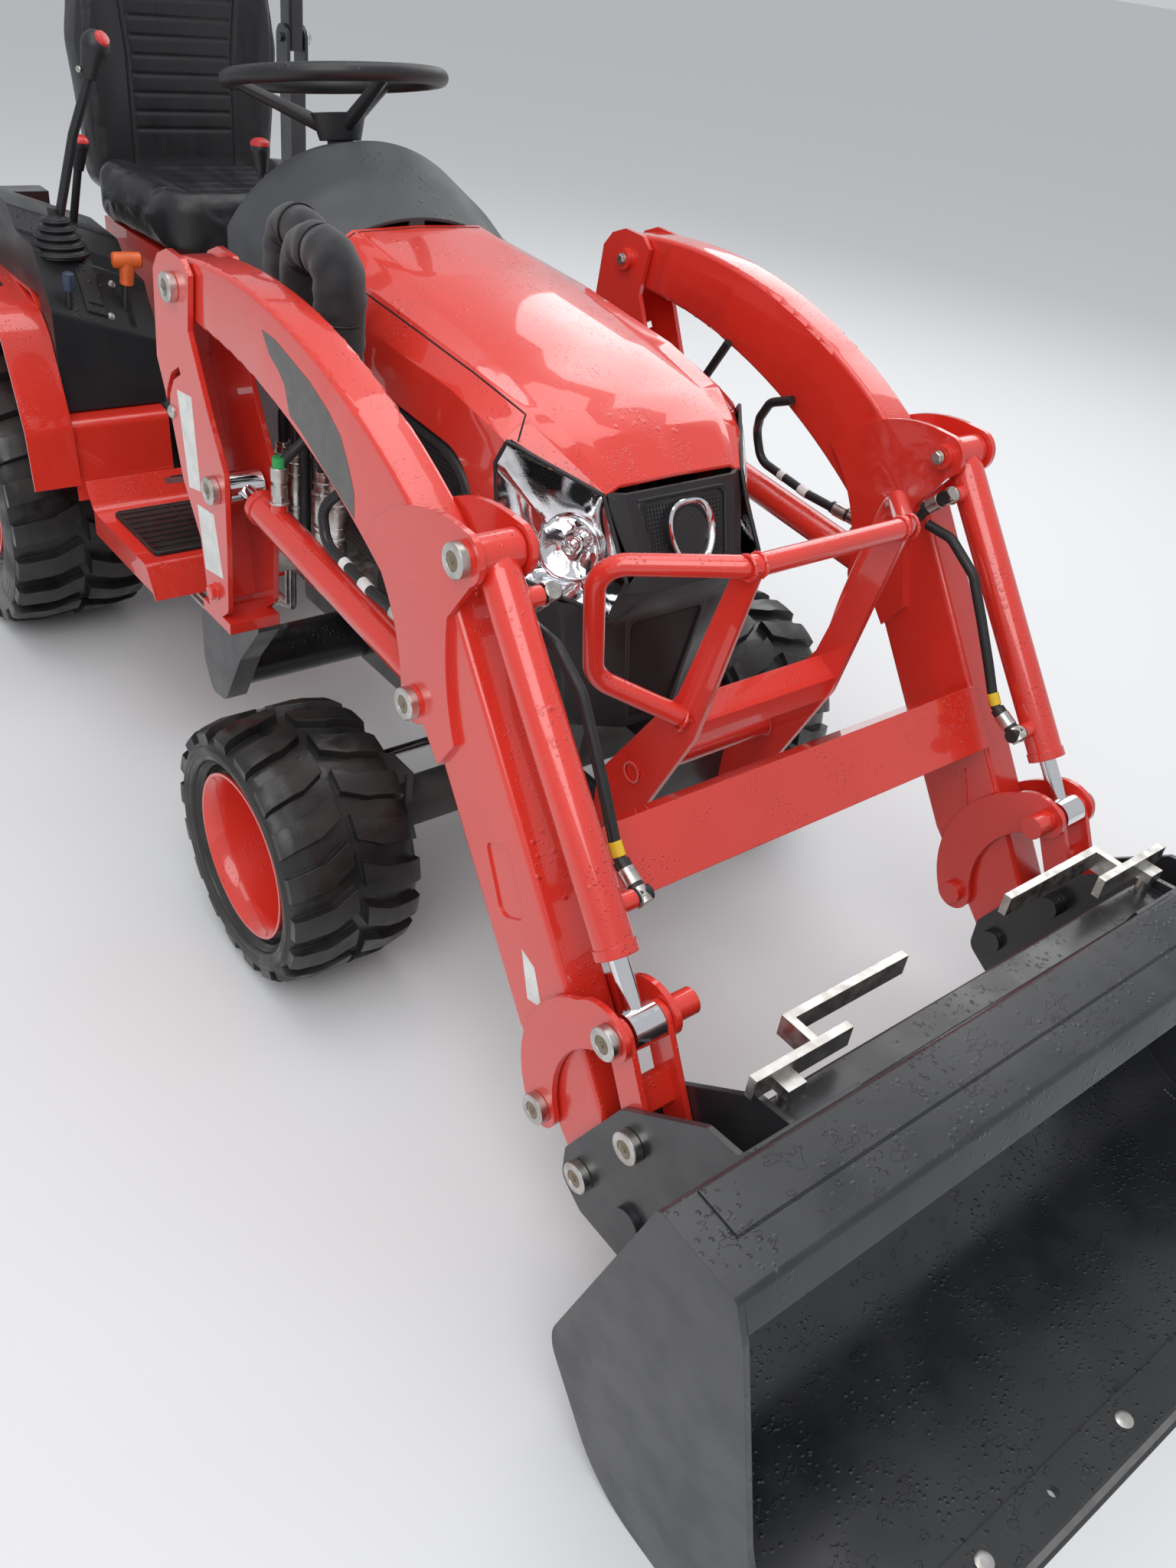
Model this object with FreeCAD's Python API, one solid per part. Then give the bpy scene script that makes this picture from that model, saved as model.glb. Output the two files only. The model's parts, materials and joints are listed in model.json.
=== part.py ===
# A sub-compact farm tractor with a front loader and bucket, in millimetres.
# The drawing frame has X forward from the front axle, Y to the left and Z up from the ground.
# node() moves each finished piece along X, so that the part's own origin lies on the ground
# midway between the bucket's cutting edge and the ends of the lower hitch links.
import FreeCAD, Part
import math
import os

V = FreeCAD.Vector

# Driving dimensions of the tractor
WHEELBASE = 1398
FRONT_TRACK = 980
REAR_TRACK = 881
FRONT_TYRE_R = 230
FRONT_TYRE_W = 236
FRONT_LIP_R = 144
REAR_TYRE_R = 330
REAR_TYRE_W = 302
REAR_LIP_R = 170
BUCKET_REACH = 1447
HITCH_REACH = 1985
HITCH_BALL_R = 26
BUCKET_W = 1274

# Clearances: between moving faces, in a pivot's bore, and between neighbours that only touch
GAP = 3
FIT = 0.1
SEAT = 0.3

# Plates, tubes and sheet metal
EAR_T = 9
SHEET = 4
PANEL = 5
RAIL_T = 12
GUARD_R = 15

# The loader's arms: centre line and half width of the box, and pivot pins
ARM_Y = 447
ARM_HALF = 33
PIN_R = 12.5
HEAD_R = 22
HEAD_T = 12

# The loader's pivots in the XZ plane
PIVOT_A = (-373, 1032)
PIVOT_B = (432, 941)
PIVOT_C = (808, 478)
PIVOT_D = (701, 253)
PIVOT_E1 = (801, 218)
PIVOT_E2 = (876, 358)
PIVOT_F = (-257, 753)
PIVOT_G = (339, 693)

# Cylinders
LIFT_BARREL_R = 26
LIFT_ROD_R = 13
TILT_BARREL_R = 27
TILT_ROD_R = 13
BARREL_WALL = 5
EYE_R = 26
LIFT_SHOWN = 42
TILT_SHOWN = 66
TILT_DRAW_IN = 60

# The floor, hood and body
FLOOR_Z = 420
FLOOR_HALF = 456
COWL_FRONT_X = -478
COWL_REAR_X = -720
HOOD_FRONT_X = 262
BADGE = (298, 832)
BADGE_R = 44
FENDER_IN = 262
FENDER_OUT = 560

REAR_X = -WHEELBASE
FRONT_Y = FRONT_TRACK / 2
REAR_Y = REAR_TRACK / 2
SHIFT = (HITCH_REACH + HITCH_BALL_R - BUCKET_REACH) / 2

os.makedirs("parts", exist_ok=True)


# Ways of making shapes

def ring(points, at):
    """A closed wire through corners (u, v), rounded corners (u, v, r) and arcs ("via", u, v)."""
    corners = []
    for i, point in enumerate(points):
        if point[0] == "via":
            corners.append(("via", at(point[1], point[2])))
            continue
        here = at(point[0], point[1])
        if len(point) == 2 or not point[2]:
            corners.append((here, None, here))
            continue
        before, after = points[i - 1], points[(i + 1) % len(points)]
        one = (at(before[0], before[1]) - here).normalize()
        two = (at(after[0], after[1]) - here).normalize()
        half = one.getAngle(two) / 2
        run = point[2] / math.tan(half)
        middle = here + (one + two).normalize() * (point[2] / math.sin(half) - point[2])
        corners.append((here + one * run, middle, here + two * run))
    edges = []
    for i, corner in enumerate(corners):
        if corner[0] == "via":
            start, end = corners[i - 1][2], corners[(i + 1) % len(corners)][0]
            edges.append(Part.Arc(start, corner[1], end).toShape())
            continue
        if corner[1] is not None:
            edges.append(Part.Arc(*corner).toShape())
        after = corners[(i + 1) % len(corners)]
        if after[0] != "via" and (after[0] - corner[2]).Length > 0.001:
            edges.append(Part.LineSegment(corner[2], after[0]).toShape())
    return Part.Wire(edges)


def plate(points, low, high):
    """An XZ outline made solid from y = low to y = high."""
    face = Part.Face(ring(points, lambda u, v: V(u, low, v)))
    return face.extrude(V(0, high - low, 0))


def slab(points, low, high):
    """An XY outline made solid from z = low to z = high."""
    face = Part.Face(ring(points, lambda u, v: V(u, v, low)))
    return face.extrude(V(0, 0, high - low))


def wall(points, low, high):
    """A YZ outline made solid from x = low to x = high."""
    face = Part.Face(ring(points, lambda u, v: V(low, u, v)))
    return face.extrude(V(high - low, 0, 0))


def block(x_low, x_high, y_low, y_high, z_low, z_high):
    return Part.makeBox(x_high - x_low, y_high - y_low, z_high - z_low, V(x_low, y_low, z_low))


def bar(start, end, radius):
    """A round bar from one point to another."""
    along = V(*end) - V(*start)
    return Part.makeCylinder(radius, along.Length, V(*start), along)


def cross(place, radius, low, high):
    """A round bar along Y at an XZ place."""
    return bar((place[0], low, place[1]), (place[0], high, place[1]), radius)


def spun(points, y):
    """A (y, r) outline turned about a wheel's axle, with y measured from the given plane."""
    face = Part.Face(ring(points, lambda u, v: V(0, y + u, v)))
    return face.revolve(V(0, 0, 0), V(0, 1, 0), 360)


def pipe(points, radius, bend, section=None):
    """A round tube, or another section, through points, with its corners bent to one radius."""
    corners = [V(*point) for point in points]
    edges = []
    start = corners[0]
    for before, here, after in zip(corners, corners[1:], corners[2:]):
        one = (before - here).normalize()
        two = (after - here).normalize()
        half = one.getAngle(two) / 2
        run = bend / math.tan(half)
        middle = here + (one + two).normalize() * (bend / math.sin(half) - bend)
        edges.append(Part.LineSegment(start, here + one * run).toShape())
        edges.append(Part.Arc(here + one * run, middle, here + two * run).toShape())
        start = here + two * run
    edges.append(Part.LineSegment(start, corners[-1]).toShape())
    section = section or Part.Wire(Part.makeCircle(radius, corners[0], corners[1] - corners[0]))
    return Part.Wire(edges).makePipe(Part.Face(section))


def strip(points, thickness):
    """The outline of a bent sheet: an open line of (u, v, r) bends and its copy to the left."""
    flat = [V(point[0], point[1], 0) for point in points]
    bends = [point[2] if len(point) > 2 else 0 for point in points]
    copy = []
    for i, here in enumerate(flat):
        one = (here - flat[i - 1]).normalize() if i else (flat[1] - here).normalize()
        two = (flat[i + 1] - here).normalize() if i + 1 < len(flat) else one
        left = V(-one.y - two.y, one.x + two.x, 0).normalize()
        reach = thickness / left.dot(V(-one.y, one.x, 0))
        turn = one.x * two.y - one.y * two.x
        bend = bends[i] and max(bends[i] - math.copysign(thickness, turn), 1)
        copy.append((here.x + left.x * reach, here.y + left.y * reach, bend))
    return list(points) + copy[::-1]


def fuse(*shapes):
    flat = [s for shape in shapes for s in (shape if isinstance(shape, list) else [shape])]
    return flat[0].multiFuse(flat[1:]).removeSplitter() if len(flat) > 1 else flat[0]


def mirror(shape):
    return shape.mirror(V(0, 0, 0), V(0, 1, 0))


def both(shape):
    """The left piece and its mirror image on the right."""
    return [shape, mirror(shape)]


def cheeks(points, half=ARM_HALF + GAP, thickness=EAR_T):
    """Two like plates, one each side of the left loader arm."""
    return [
        plate(points, ARM_Y + half, ARM_Y + half + thickness),
        plate(points, ARM_Y - half - thickness, ARM_Y - half),
    ]


def pin(place, reach=ARM_HALF + GAP + EAR_T):
    """A pivot pin across the left arm, with a round head outside and a bossed end inside."""
    return fuse(
        cross(place, PIN_R, ARM_Y - reach - HEAD_T, ARM_Y + reach + 2),
        cross(place, HEAD_R, ARM_Y + reach, ARM_Y + reach + HEAD_T),
        cross(place, PIN_R + 7, ARM_Y - reach - HEAD_T, ARM_Y - reach),
    )


def bored(shape, place, radius=PIN_R + FIT):
    """The shape with a hole along Y through it."""
    return shape.cut(cross(place, radius, ARM_Y - 200, ARM_Y + 200))


def around(place, radius, angle):
    """A point at a distance from a pivot, at an angle in degrees up from +X."""
    turn = math.radians(angle)
    return (place[0] + radius * math.cos(turn), place[1] + radius * math.sin(turn))


def between(one, two, share):
    return tuple(a + (b - a) * share for a, b in zip(one, two))


def node(name, *shapes):
    """Write one named piece: a solid, or like solids that do not touch."""
    solids = []
    for shape in shapes:
        for one in shape if isinstance(shape, list) else [shape]:
            solids += one.Solids
    moved = [solid.translated(V(SHIFT, 0, 0)) for solid in solids]
    shape = moved[0] if len(moved) == 1 else Part.makeCompound(moved)
    shape.exportStep(os.path.join("parts", name + ".step"))


# Wheels

def tyre(radius, width, lip, rim_w, depth):
    """A tyre's section, with its tread a given depth below the tips of the lugs."""
    half = width / 2
    foot = rim_w / 2 - 21
    tread = radius - depth
    side = [
        (foot, lip - 12),
        (foot, lip + 2),
        (half - 5, lip + (radius - lip) * 0.3),
        (half, lip + (radius - lip) * 0.5),
        (half - 4, tread - 18),
        (half - 16, tread - 10),
        (half * 0.55, tread - 2),
    ]
    return side + [(-y, r) for y, r in reversed(side)]


def lugs(radius, width, depth, count):
    """Bent bars that lean alike on both halves of the tread, one half a pitch behind the other."""
    outer = width / 2 - 5
    elbow = width * 0.2
    bar_w = math.pi * radius / count
    line = [(8, -bar_w * 0.35), (elbow, bar_w * 0.15), (outer, bar_w * 0.4)]
    outline = line + [(y, along + bar_w) for y, along in reversed(line)]
    foot = radius - depth - 26
    made = []
    for i in range(count):
        for side, phase in ((1, 0), (-1, 0.5)):
            corners = [V(along, side * y, foot) for y, along in outline]
            lug = Part.Face(Part.makePolygon(corners + corners[:1])).extrude(V(0, 0, depth + 30))
            lug.rotate(V(0, 0, 0), V(0, 1, 0), (i + phase) * 360 / count)
            made.append(lug)
    return made


def rim(width, lip, dish, hub):
    """A dished rim: its outer lip at +Y, its disc at y = dish and its bore at the hub."""
    half = width / 2
    seat = lip - 12 - SEAT
    wall_t = PANEL
    return [
        (-half, lip),
        (-half, lip - wall_t),
        (-half + 14, seat - wall_t),
        (dish - 24, seat - wall_t - 10),
        (dish - wall_t, hub + 40),
        (dish - wall_t, hub),
        (dish + wall_t, hub),
        (dish + wall_t, hub + 44),
        (dish + 4, seat - 22),
        (half - 14, seat - wall_t),
        (half, lip - wall_t),
        (half, lip),
        (half - wall_t, lip),
        (half - 14 - wall_t, seat),
        (-half + 14 + wall_t, seat),
        (-half + wall_t, lip),
    ]


FRONT_RIM_W = 208
REAR_RIM_W = 267
HUB_R = 32
FRONT_DISH = -30
REAR_DISH = -20
FRONT_LUG_DEEP = 16
REAR_LUG_DEEP = 22
FRONT_LUGS = 18
REAR_LUGS = 22


def wheels():
    sets = (
        ("front", 0, FRONT_Y, FRONT_TYRE_R, FRONT_TYRE_W, FRONT_LIP_R, FRONT_RIM_W, FRONT_DISH,
         FRONT_LUG_DEEP, FRONT_LUGS),
        ("rear", REAR_X, REAR_Y, REAR_TYRE_R, REAR_TYRE_W, REAR_LIP_R, REAR_RIM_W, REAR_DISH,
         REAR_LUG_DEEP, REAR_LUGS),
    )
    for name, x, y, radius, width, lip, rim_w, dish, deep, count in sets:
        envelope = spun(tyre(radius, width, lip, rim_w, 0), 0)
        tread = envelope.common(Part.makeCompound(lugs(radius, width, deep, count)))
        carcass = fuse(spun(tyre(radius, width, lip, rim_w, deep), 0), tread.Solids)
        carcass.translate(V(x, y, radius))
        wheel = spun(rim(rim_w, lip, dish, HUB_R), y).translated(V(x, 0, radius))
        bolts = [
            cross(around((x, radius), 55, 72 * i), 7, y + dish, y + dish + PANEL + 8)
            for i in range(5)
        ]
        wheel = fuse(wheel, bolts)
        for side, turned in (("left", lambda s: s), ("right", mirror)):
            node(f"{name}_tyre_{side}", turned(carcass))
            node(f"{name}_rim_{side}", turned(wheel))


# Front axle, knuckles and steering

AXLE_Z = FRONT_TYRE_R
KINGPIN_Y = 355
KINGPIN_R = 16
AXLE_R = 44
FORK_TOP = AXLE_Z + 70
FORK_LOW = AXLE_Z - 70
FORK_T = 18
HUB_FACE = FRONT_Y + FRONT_DISH - PANEL - SEAT
STEER_X = -105
STEER_Z = AXLE_Z + 34
STEER_END = 325


def front_axle():
    fork_in = KINGPIN_Y - 56
    beam = cross((0, AXLE_Z), AXLE_R, -fork_in, fork_in)
    centre = fuse(
        cross((0, AXLE_Z), AXLE_R + 22, -70, 70),
        bar((-88, 0, AXLE_Z + 10), (88, 0, AXLE_Z + 10), 34),
    )
    fork = fuse(
        block(-34, 34, fork_in - 14, fork_in, FORK_LOW - FORK_T, FORK_TOP + FORK_T),
        slab(arm_shape(fork_in - 14, KINGPIN_Y, 30), FORK_TOP, FORK_TOP + FORK_T),
        slab(arm_shape(fork_in - 14, KINGPIN_Y, 30), FORK_LOW - FORK_T, FORK_LOW),
        bar((0, KINGPIN_Y, FORK_LOW - FORK_T), (0, KINGPIN_Y, FORK_TOP + FORK_T + 6), KINGPIN_R),
    )
    barrel = cross((STEER_X, STEER_Z), 22, -150, 150)
    barrel = barrel.cut(cross((STEER_X, STEER_Z), 9 + FIT, -151, 151))
    saddle = [
        block(STEER_X + 10, -30, y - 12, y + 12, AXLE_Z + 10, STEER_Z + 6).cut(
            cross((STEER_X, STEER_Z), 21, -160, 160)
        )
        for y in (-90, 90)
    ]
    node("front_axle", fuse(beam, centre, both(fork), barrel, saddle))
    rod = fuse(
        cross((STEER_X, STEER_Z), 9, -STEER_END, STEER_END),
        [cross((STEER_X, STEER_Z), 14, y - 16, y + 16) for y in (-STEER_END, STEER_END)],
    )
    node("steering_rod", rod)


def arm_shape(y_in, y_pin, half):
    """An XY outline that runs out from y_in and ends round about a pin."""
    return [(-half, y_in), (-half, y_pin), ("via", 0, y_pin + half), (half, y_pin), (half, y_in)]


def knuckles():
    tall = FORK_TOP - FORK_LOW - 2 * SEAT
    case = bar((0, KINGPIN_Y, FORK_LOW + SEAT), (0, KINGPIN_Y, FORK_LOW + SEAT + tall), 38)
    spindle = cross((0, AXLE_Z), 46, KINGPIN_Y, HUB_FACE - 16)
    flange = cross((0, AXLE_Z), 70, HUB_FACE - 16, HUB_FACE)
    nose = cross((0, AXLE_Z), HUB_R - SEAT, HUB_FACE - 16, HUB_FACE + 34)
    arm_z = STEER_Z - 14 - 1
    arm = slab(
        [
            (-20, KINGPIN_Y + 24),
            (-72, KINGPIN_Y + 18),
            (STEER_X - 4, STEER_END + 15),
            (STEER_X - 15, STEER_END),
            (STEER_X, STEER_END - 14),
            (-70, KINGPIN_Y - 5),
            (-20, KINGPIN_Y - 18),
        ],
        arm_z - 12,
        arm_z,
    )
    knuckle = fuse(case, spindle, flange, nose, arm)
    knuckle = knuckle.cut(
        bar((0, KINGPIN_Y, FORK_LOW), (0, KINGPIN_Y, FORK_TOP), KINGPIN_R + FIT)
    )
    node("knuckle_left", knuckle)
    node("knuckle_right", mirror(knuckle))


# The chassis

RAIL_Y = 125
RAIL_LOW = 335
RAIL_TOP = 430
RAIL_FRONT = 335
ENGINE_REAR = -465
GEARBOX_REAR = -1500
AXLE_REAR_Z = REAR_TYRE_R
TRUMPET_R = 70


def front_frame():
    rail = plate(
        [
            (ENGINE_REAR + 60, RAIL_LOW + 30),
            (-120, RAIL_LOW, 30),
            (RAIL_FRONT, RAIL_LOW),
            (RAIL_FRONT, RAIL_TOP),
            (ENGINE_REAR + 60, RAIL_TOP),
        ],
        RAIL_Y,
        RAIL_Y + RAIL_T,
    )
    nose = block(RAIL_FRONT, RAIL_FRONT + RAIL_T, -170, 170, RAIL_LOW - 15, RAIL_TOP)
    bolster = block(-70, 70, -RAIL_Y, RAIL_Y, AXLE_Z + AXLE_R + 62, RAIL_TOP - 10)
    hanger = [
        wall(
            [
                (-60, RAIL_TOP - 30),
                (-38, AXLE_Z - 14),
                ("via", 0, AXLE_Z - 36),
                (38, AXLE_Z - 14),
                (60, RAIL_TOP - 30),
            ],
            x,
            x + RAIL_T,
        ).cut(bar((x - 5, 0, AXLE_Z + 10), (x + 30, 0, AXLE_Z + 10), 34 + SEAT))
        for x in (-70 - RAIL_T, 70)
    ]
    node("front_frame", fuse(both(rail), nose, bolster, hanger))


def power_train():
    engine = block(ENGINE_REAR, 60, -118, 118, 440, 860)
    node("engine", engine)
    radiator = fuse(
        block(120, 165, -130, 130, RAIL_TOP + SEAT, 800), block(150, 165, -15, 15, 800, 967)
    )
    node("radiator", radiator)
    housing = fuse(
        wall([(-150, 300, 30), (-150, 640, 60), (150, 640, 60), (150, 300, 30)], -620, ENGINE_REAR),
        wall([(-100, 290, 30), (-100, 500, 30), (100, 500, 30), (100, 290, 30)], -1180, -620),
        wall([(-130, 220, 40), (-130, 560, 40), (130, 560, 40), (130, 220, 40)], GEARBOX_REAR, -1180),
    )
    pins = cross(LINK_PIVOT, LINK_PIN_R, -LINK_Y - 12, LINK_Y + 12)
    housing = fuse(housing, pins).cut(cross(LIFT_PIVOT, LIFT_SHAFT_R + FIT, -200, 200))
    node("transmission", housing)


def rear_axle():
    hub = REAR_Y + REAR_DISH - PANEL - SEAT
    trumpet = fuse(
        cross((REAR_X, AXLE_REAR_Z), 95, 130 + SEAT, 160),
        cross((REAR_X, AXLE_REAR_Z), TRUMPET_R, 160, 262),
        cross((REAR_X, AXLE_REAR_Z), 88, 262, 300),
        cross((REAR_X, AXLE_REAR_Z), 48, 300, hub - 16),
        cross((REAR_X, AXLE_REAR_Z), 70, hub - 16, hub),
        cross((REAR_X, AXLE_REAR_Z), HUB_R - SEAT, hub - 10, hub + 36),
    )
    node("rear_axle", both(trumpet))


# The loader

ARM_OUTLINE = [
    around(PIVOT_A, 44, 95),
    ("via", -40, 1078),
    (318, 940),
    (402, 871),
    (828, 303),
    around(PIVOT_E1, 44, 12),
    ("via", *around(PIVOT_E1, 44, -70)),
    around(PIVOT_E1, 44, 195),
    (620, 336),
    (388, 646),
    (282, 792),
    ("via", 0, 933),
    around(PIVOT_A, 44, -88),
    ("via", *around(PIVOT_A, 44, 180)),
]
GUSSET = [
    (205, 880),
    ("via", 300, 954),
    (400, 976),
    around(PIVOT_B, 34, 80),
    ("via", *around(PIVOT_B, 34, 20)),
    around(PIVOT_B, 34, -60),
    (405, 850),
    ("via", 412, 760),
    (438, 680),
    (404, 630),
    around(PIVOT_G, 32, -40),
    ("via", *around(PIVOT_G, 32, -110)),
    around(PIVOT_G, 32, 175),
    ("via", 290, 770),
]
ARM_RECESS = [(512, 572, 12), (557, 597, 14), (610, 508, 16), (560, 480, 16)]
CROSS_TUBE = (612, 556)
CROSS_TUBE_DEEP = 60
CROSS_TUBE_TALL = 104
CROSS_TUBE_LEAN = 37


def boom():
    arm = plate(ARM_OUTLINE, ARM_Y - ARM_HALF, ARM_Y + ARM_HALF)
    arm = arm.makeFillet(8, [edge for edge in arm.Edges if abs(edge.tangentAt(edge.FirstParameter).y) < 0.5])
    for place, room in ((PIVOT_B, EYE_R + 14), (PIVOT_G, EYE_R + 12)):
        arm = arm.cut(cross(place, room, ARM_Y - ARM_HALF - 1, ARM_Y + ARM_HALF + 1))
    gussets = cheeks(GUSSET, ARM_HALF)
    reach = ARM_HALF + EAR_T
    pins = [pin(PIVOT_B, reach), pin(PIVOT_G, reach)]
    arm = bored(bored(arm, PIVOT_A), PIVOT_E1)
    collar = cross(PIVOT_D, PIN_R + 14, ARM_Y - ARM_HALF, ARM_Y + ARM_HALF)
    low = fuse(arm, gussets, collar, pins, pin(PIVOT_D))
    recess = plate(ARM_RECESS, ARM_Y + ARM_HALF - 3, ARM_Y + ARM_HALF + 1)
    tube = block(
        -CROSS_TUBE_DEEP / 2, CROSS_TUBE_DEEP / 2,
        -ARM_Y + ARM_HALF, ARM_Y - ARM_HALF,
        -CROSS_TUBE_TALL / 2, CROSS_TUBE_TALL / 2,
    )
    tube.rotate(V(0, 0, 0), V(0, 1, 0), -CROSS_TUBE_LEAN)
    tube.translate(V(CROSS_TUBE[0], 0, CROSS_TUBE[1]))
    node("boom", fuse(both(low.cut(recess)), tube))


def cylinder(base, tip, barrel_r, rod_r, shown, draw_in, eye_half, names, rod_eye_half, port_places, port_side):
    """A barrel with its eye at the base pivot, and a rod with its eye at the tip."""
    axis = V(tip[0] - base[0], 0, tip[1] - base[1])
    length = axis.Length
    axis.normalize()
    start = V(base[0], ARM_Y, base[1])
    end = V(tip[0], ARM_Y, tip[1])
    barrel_end = length - shown - EYE_R
    shell = Part.makeCylinder(barrel_r, barrel_end - EYE_R, start + axis * EYE_R, axis)
    bore = Part.makeCylinder(rod_r + FIT, barrel_end, start + axis * (EYE_R + 26), axis)
    hollow = Part.makeCylinder(
        barrel_r - BARREL_WALL, barrel_end - EYE_R - 60, start + axis * (EYE_R + 26), axis
    )
    gland = Part.makeCylinder(barrel_r + 2, 14, start + axis * (barrel_end - 14), axis)
    neck = Part.makeCone(EYE_R * 0.75, barrel_r, EYE_R, start, axis)
    eye = cross(base, EYE_R, ARM_Y - eye_half, ARM_Y + eye_half)
    out, height = (V(-axis.z, 0, axis.x), 42) if port_side else (V(0, -1, 0), 46)
    if out.z < 0:
        out = out * -1
    ports = [Part.makeCylinder(13, height, start + axis * at, out) for at in port_places]
    barrel = bored(fuse(shell, gland, neck, eye, ports).cut(hollow).cut(bore), base)
    inner = EYE_R + 26 + draw_in + GAP
    rod = Part.makeCylinder(rod_r, length - inner - 12, start + axis * inner, axis)
    piston = Part.makeCylinder(barrel_r - BARREL_WALL - FIT, 30, start + axis * inner, axis)
    tip_eye = Part.makeCylinder(
        EYE_R, 2 * rod_eye_half, end - V(0, rod_eye_half, 0), V(0, 1, 0)
    )
    node(names[0], both(barrel))
    node(names[1], both(fuse(rod, piston, tip_eye)))


# The hoses' round ports, as distances along each barrel from its base pivot
LIFT_PORT = 68
LIFT_GLAND_PORT = 470
TILT_PORT = 62
TILT_GLAND_PORT = 449
HOSE_R = 8


def along(base, tip, at, off):
    """The XZ place at a distance along a cylinder, and off to the side that faces up."""
    axis = V(tip[0] - base[0], 0, tip[1] - base[1]).normalize()
    out = V(-axis.z, 0, axis.x)
    if out.z < 0:
        out = out * -1
    place = V(base[0], 0, base[1]) + axis * at + out * off
    return place.x, place.z


def hoses():
    """Stiff pressure hoses, each held by a fitting on its cylinder's port."""
    y = ARM_Y
    inner = ARM_Y - ARM_HALF - HOSE_R - 9
    gland_x, gland_z = along(PIVOT_G, PIVOT_F, LIFT_GLAND_PORT, 43 + SEAT)
    base_x, base_z = along(PIVOT_G, PIVOT_F, LIFT_PORT, 43 + SEAT)
    upper = [(gland_x, y, gland_z + 40), (gland_x + 2, y - 4, gland_z + 60), (gland_x + 12, inner, gland_z + 102),
             (gland_x + 60, inner, gland_z + 185)]
    lower = [(base_x, y, base_z + 14), (150, y, 758), (22, y, 774), (2, y - 4, 822), (30, y - 34, 862),
             (62, inner, 902), (110, inner, 922)]
    lift = [
        fuse(bar((gland_x, y, gland_z), (gland_x, y, gland_z + 46), 11), pipe(upper, HOSE_R, 30)),
        fuse(bar((base_x, y, base_z), (base_x, y, base_z + 26), 11),
             bar(lower[0], (base_x - 66, y, base_z + 16), 11), pipe(lower, HOSE_R, 34)),
    ]
    node("lift_hoses", *[both(one) for one in lift])
    y = ARM_Y - 46 - SEAT
    tilt = []
    for at, run in ((TILT_GLAND_PORT, [(395, -24), (330, -13), (260, -3), (190, 5), (125, -16), (92, -52)]),
                    (TILT_PORT, [(66, -40), (84, -84)])):
        x, z = along(PIVOT_B, PIVOT_C, at, 0)
        route = [(x, y - 13, z)]
        for step, off in run:
            px, pz = along(PIVOT_B, PIVOT_C, step, off)
            route.append((px, y - 13, pz))
        end = V(*route[0]) + (V(*route[1]) - V(*route[0])).normalize() * 50
        tilt.append(fuse(bar((x, y, z), (x, y - 26, z), 11), bar(route[0], tuple(end), 11), pipe(route, HOSE_R, 30)))
    node("tilt_hoses", *[both(one) for one in tilt])


def linkage():
    cylinder(
        PIVOT_G, PIVOT_F, LIFT_BARREL_R, LIFT_ROD_R, LIFT_SHOWN, 0,
        ARM_HALF - 2, ("lift_barrels", "lift_rods"), ARM_HALF - 4, (LIFT_PORT, LIFT_GLAND_PORT), True,
    )
    cylinder(
        PIVOT_B, PIVOT_C, TILT_BARREL_R, TILT_ROD_R, TILT_SHOWN, TILT_DRAW_IN,
        ARM_HALF - 2, ("tilt_barrels", "tilt_rods"), LINK_HALF - EAR_T - 3, (TILT_PORT, TILT_GLAND_PORT), False,
    )
    crescent = [
        around(PIVOT_D, 32, 200),
        ("via", 652, 372),
        (741, 488),
        ("via", 790, 512),
        around(PIVOT_C, 30, 40),
        ("via", *around(PIVOT_C, 30, -30)),
        around(PIVOT_C, 30, -100),
        ("via", 735, 385),
        around(PIVOT_D, 32, 20),
        ("via", *around(PIVOT_D, 32, -70)),
    ]
    plates = [bored(bored(one, PIVOT_D), PIVOT_C) for one in cheeks(crescent)]
    node("crescents", *[both(one) for one in plates])
    link_plates = cheeks(link_outline(PIVOT_C, PIVOT_E2, 23), LINK_HALF - EAR_T, EAR_T)
    spread = LINK_HALF - EAR_T
    web_mid = between(PIVOT_C, PIVOT_E2, 0.62)
    web = block(-8, 8, ARM_Y - spread, ARM_Y + spread, -22, 22)
    lean = math.degrees(math.atan2(PIVOT_E2[0] - PIVOT_C[0], PIVOT_C[1] - PIVOT_E2[1]))
    web.rotate(V(0, 0, 0), V(0, 1, 0), -lean)
    web.translate(V(web_mid[0], 0, web_mid[1]))
    reach = ARM_HALF + GAP + EAR_T
    stubs = [
        cross(PIVOT_C, PIN_R, ARM_Y + spread, ARM_Y + reach + 2),
        cross(PIVOT_C, HEAD_R, ARM_Y + reach + FIT, ARM_Y + reach + HEAD_T),
        cross(PIVOT_C, PIN_R, ARM_Y - reach - 40, ARM_Y - spread),
        cross(PIVOT_C, PIN_R + 6, ARM_Y - reach - 40, ARM_Y - reach - FIT),
    ]
    node("tilt_links", both(fuse(link_plates, web, stubs)))


LINK_HALF = ARM_HALF + GAP - 1


def link_outline(one, two, half):
    """An outline round two pivots, with straight sides."""
    angle = math.degrees(math.atan2(two[1] - one[1], two[0] - one[0]))
    return [
        around(one, half, angle + 90),
        ("via", *around(one, half, angle + 180)),
        around(one, half, angle - 90),
        around(two, half, angle - 90),
        ("via", *around(two, half, angle)),
        around(two, half, angle + 90),
    ]


# The coupler and the bucket

BUCKET_TOP = (1052, 545)
BUCKET_HEEL = (932, 161)
BUCKET_T = 6
SIDE_T = 8
LEVER_Z = 500
EDGE_REAR = BUCKET_REACH - 75
EDGE_BOLT_X = BUCKET_REACH - 47
EDGE_BOLT_STEP = (BUCKET_W + 34) / 4


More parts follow.
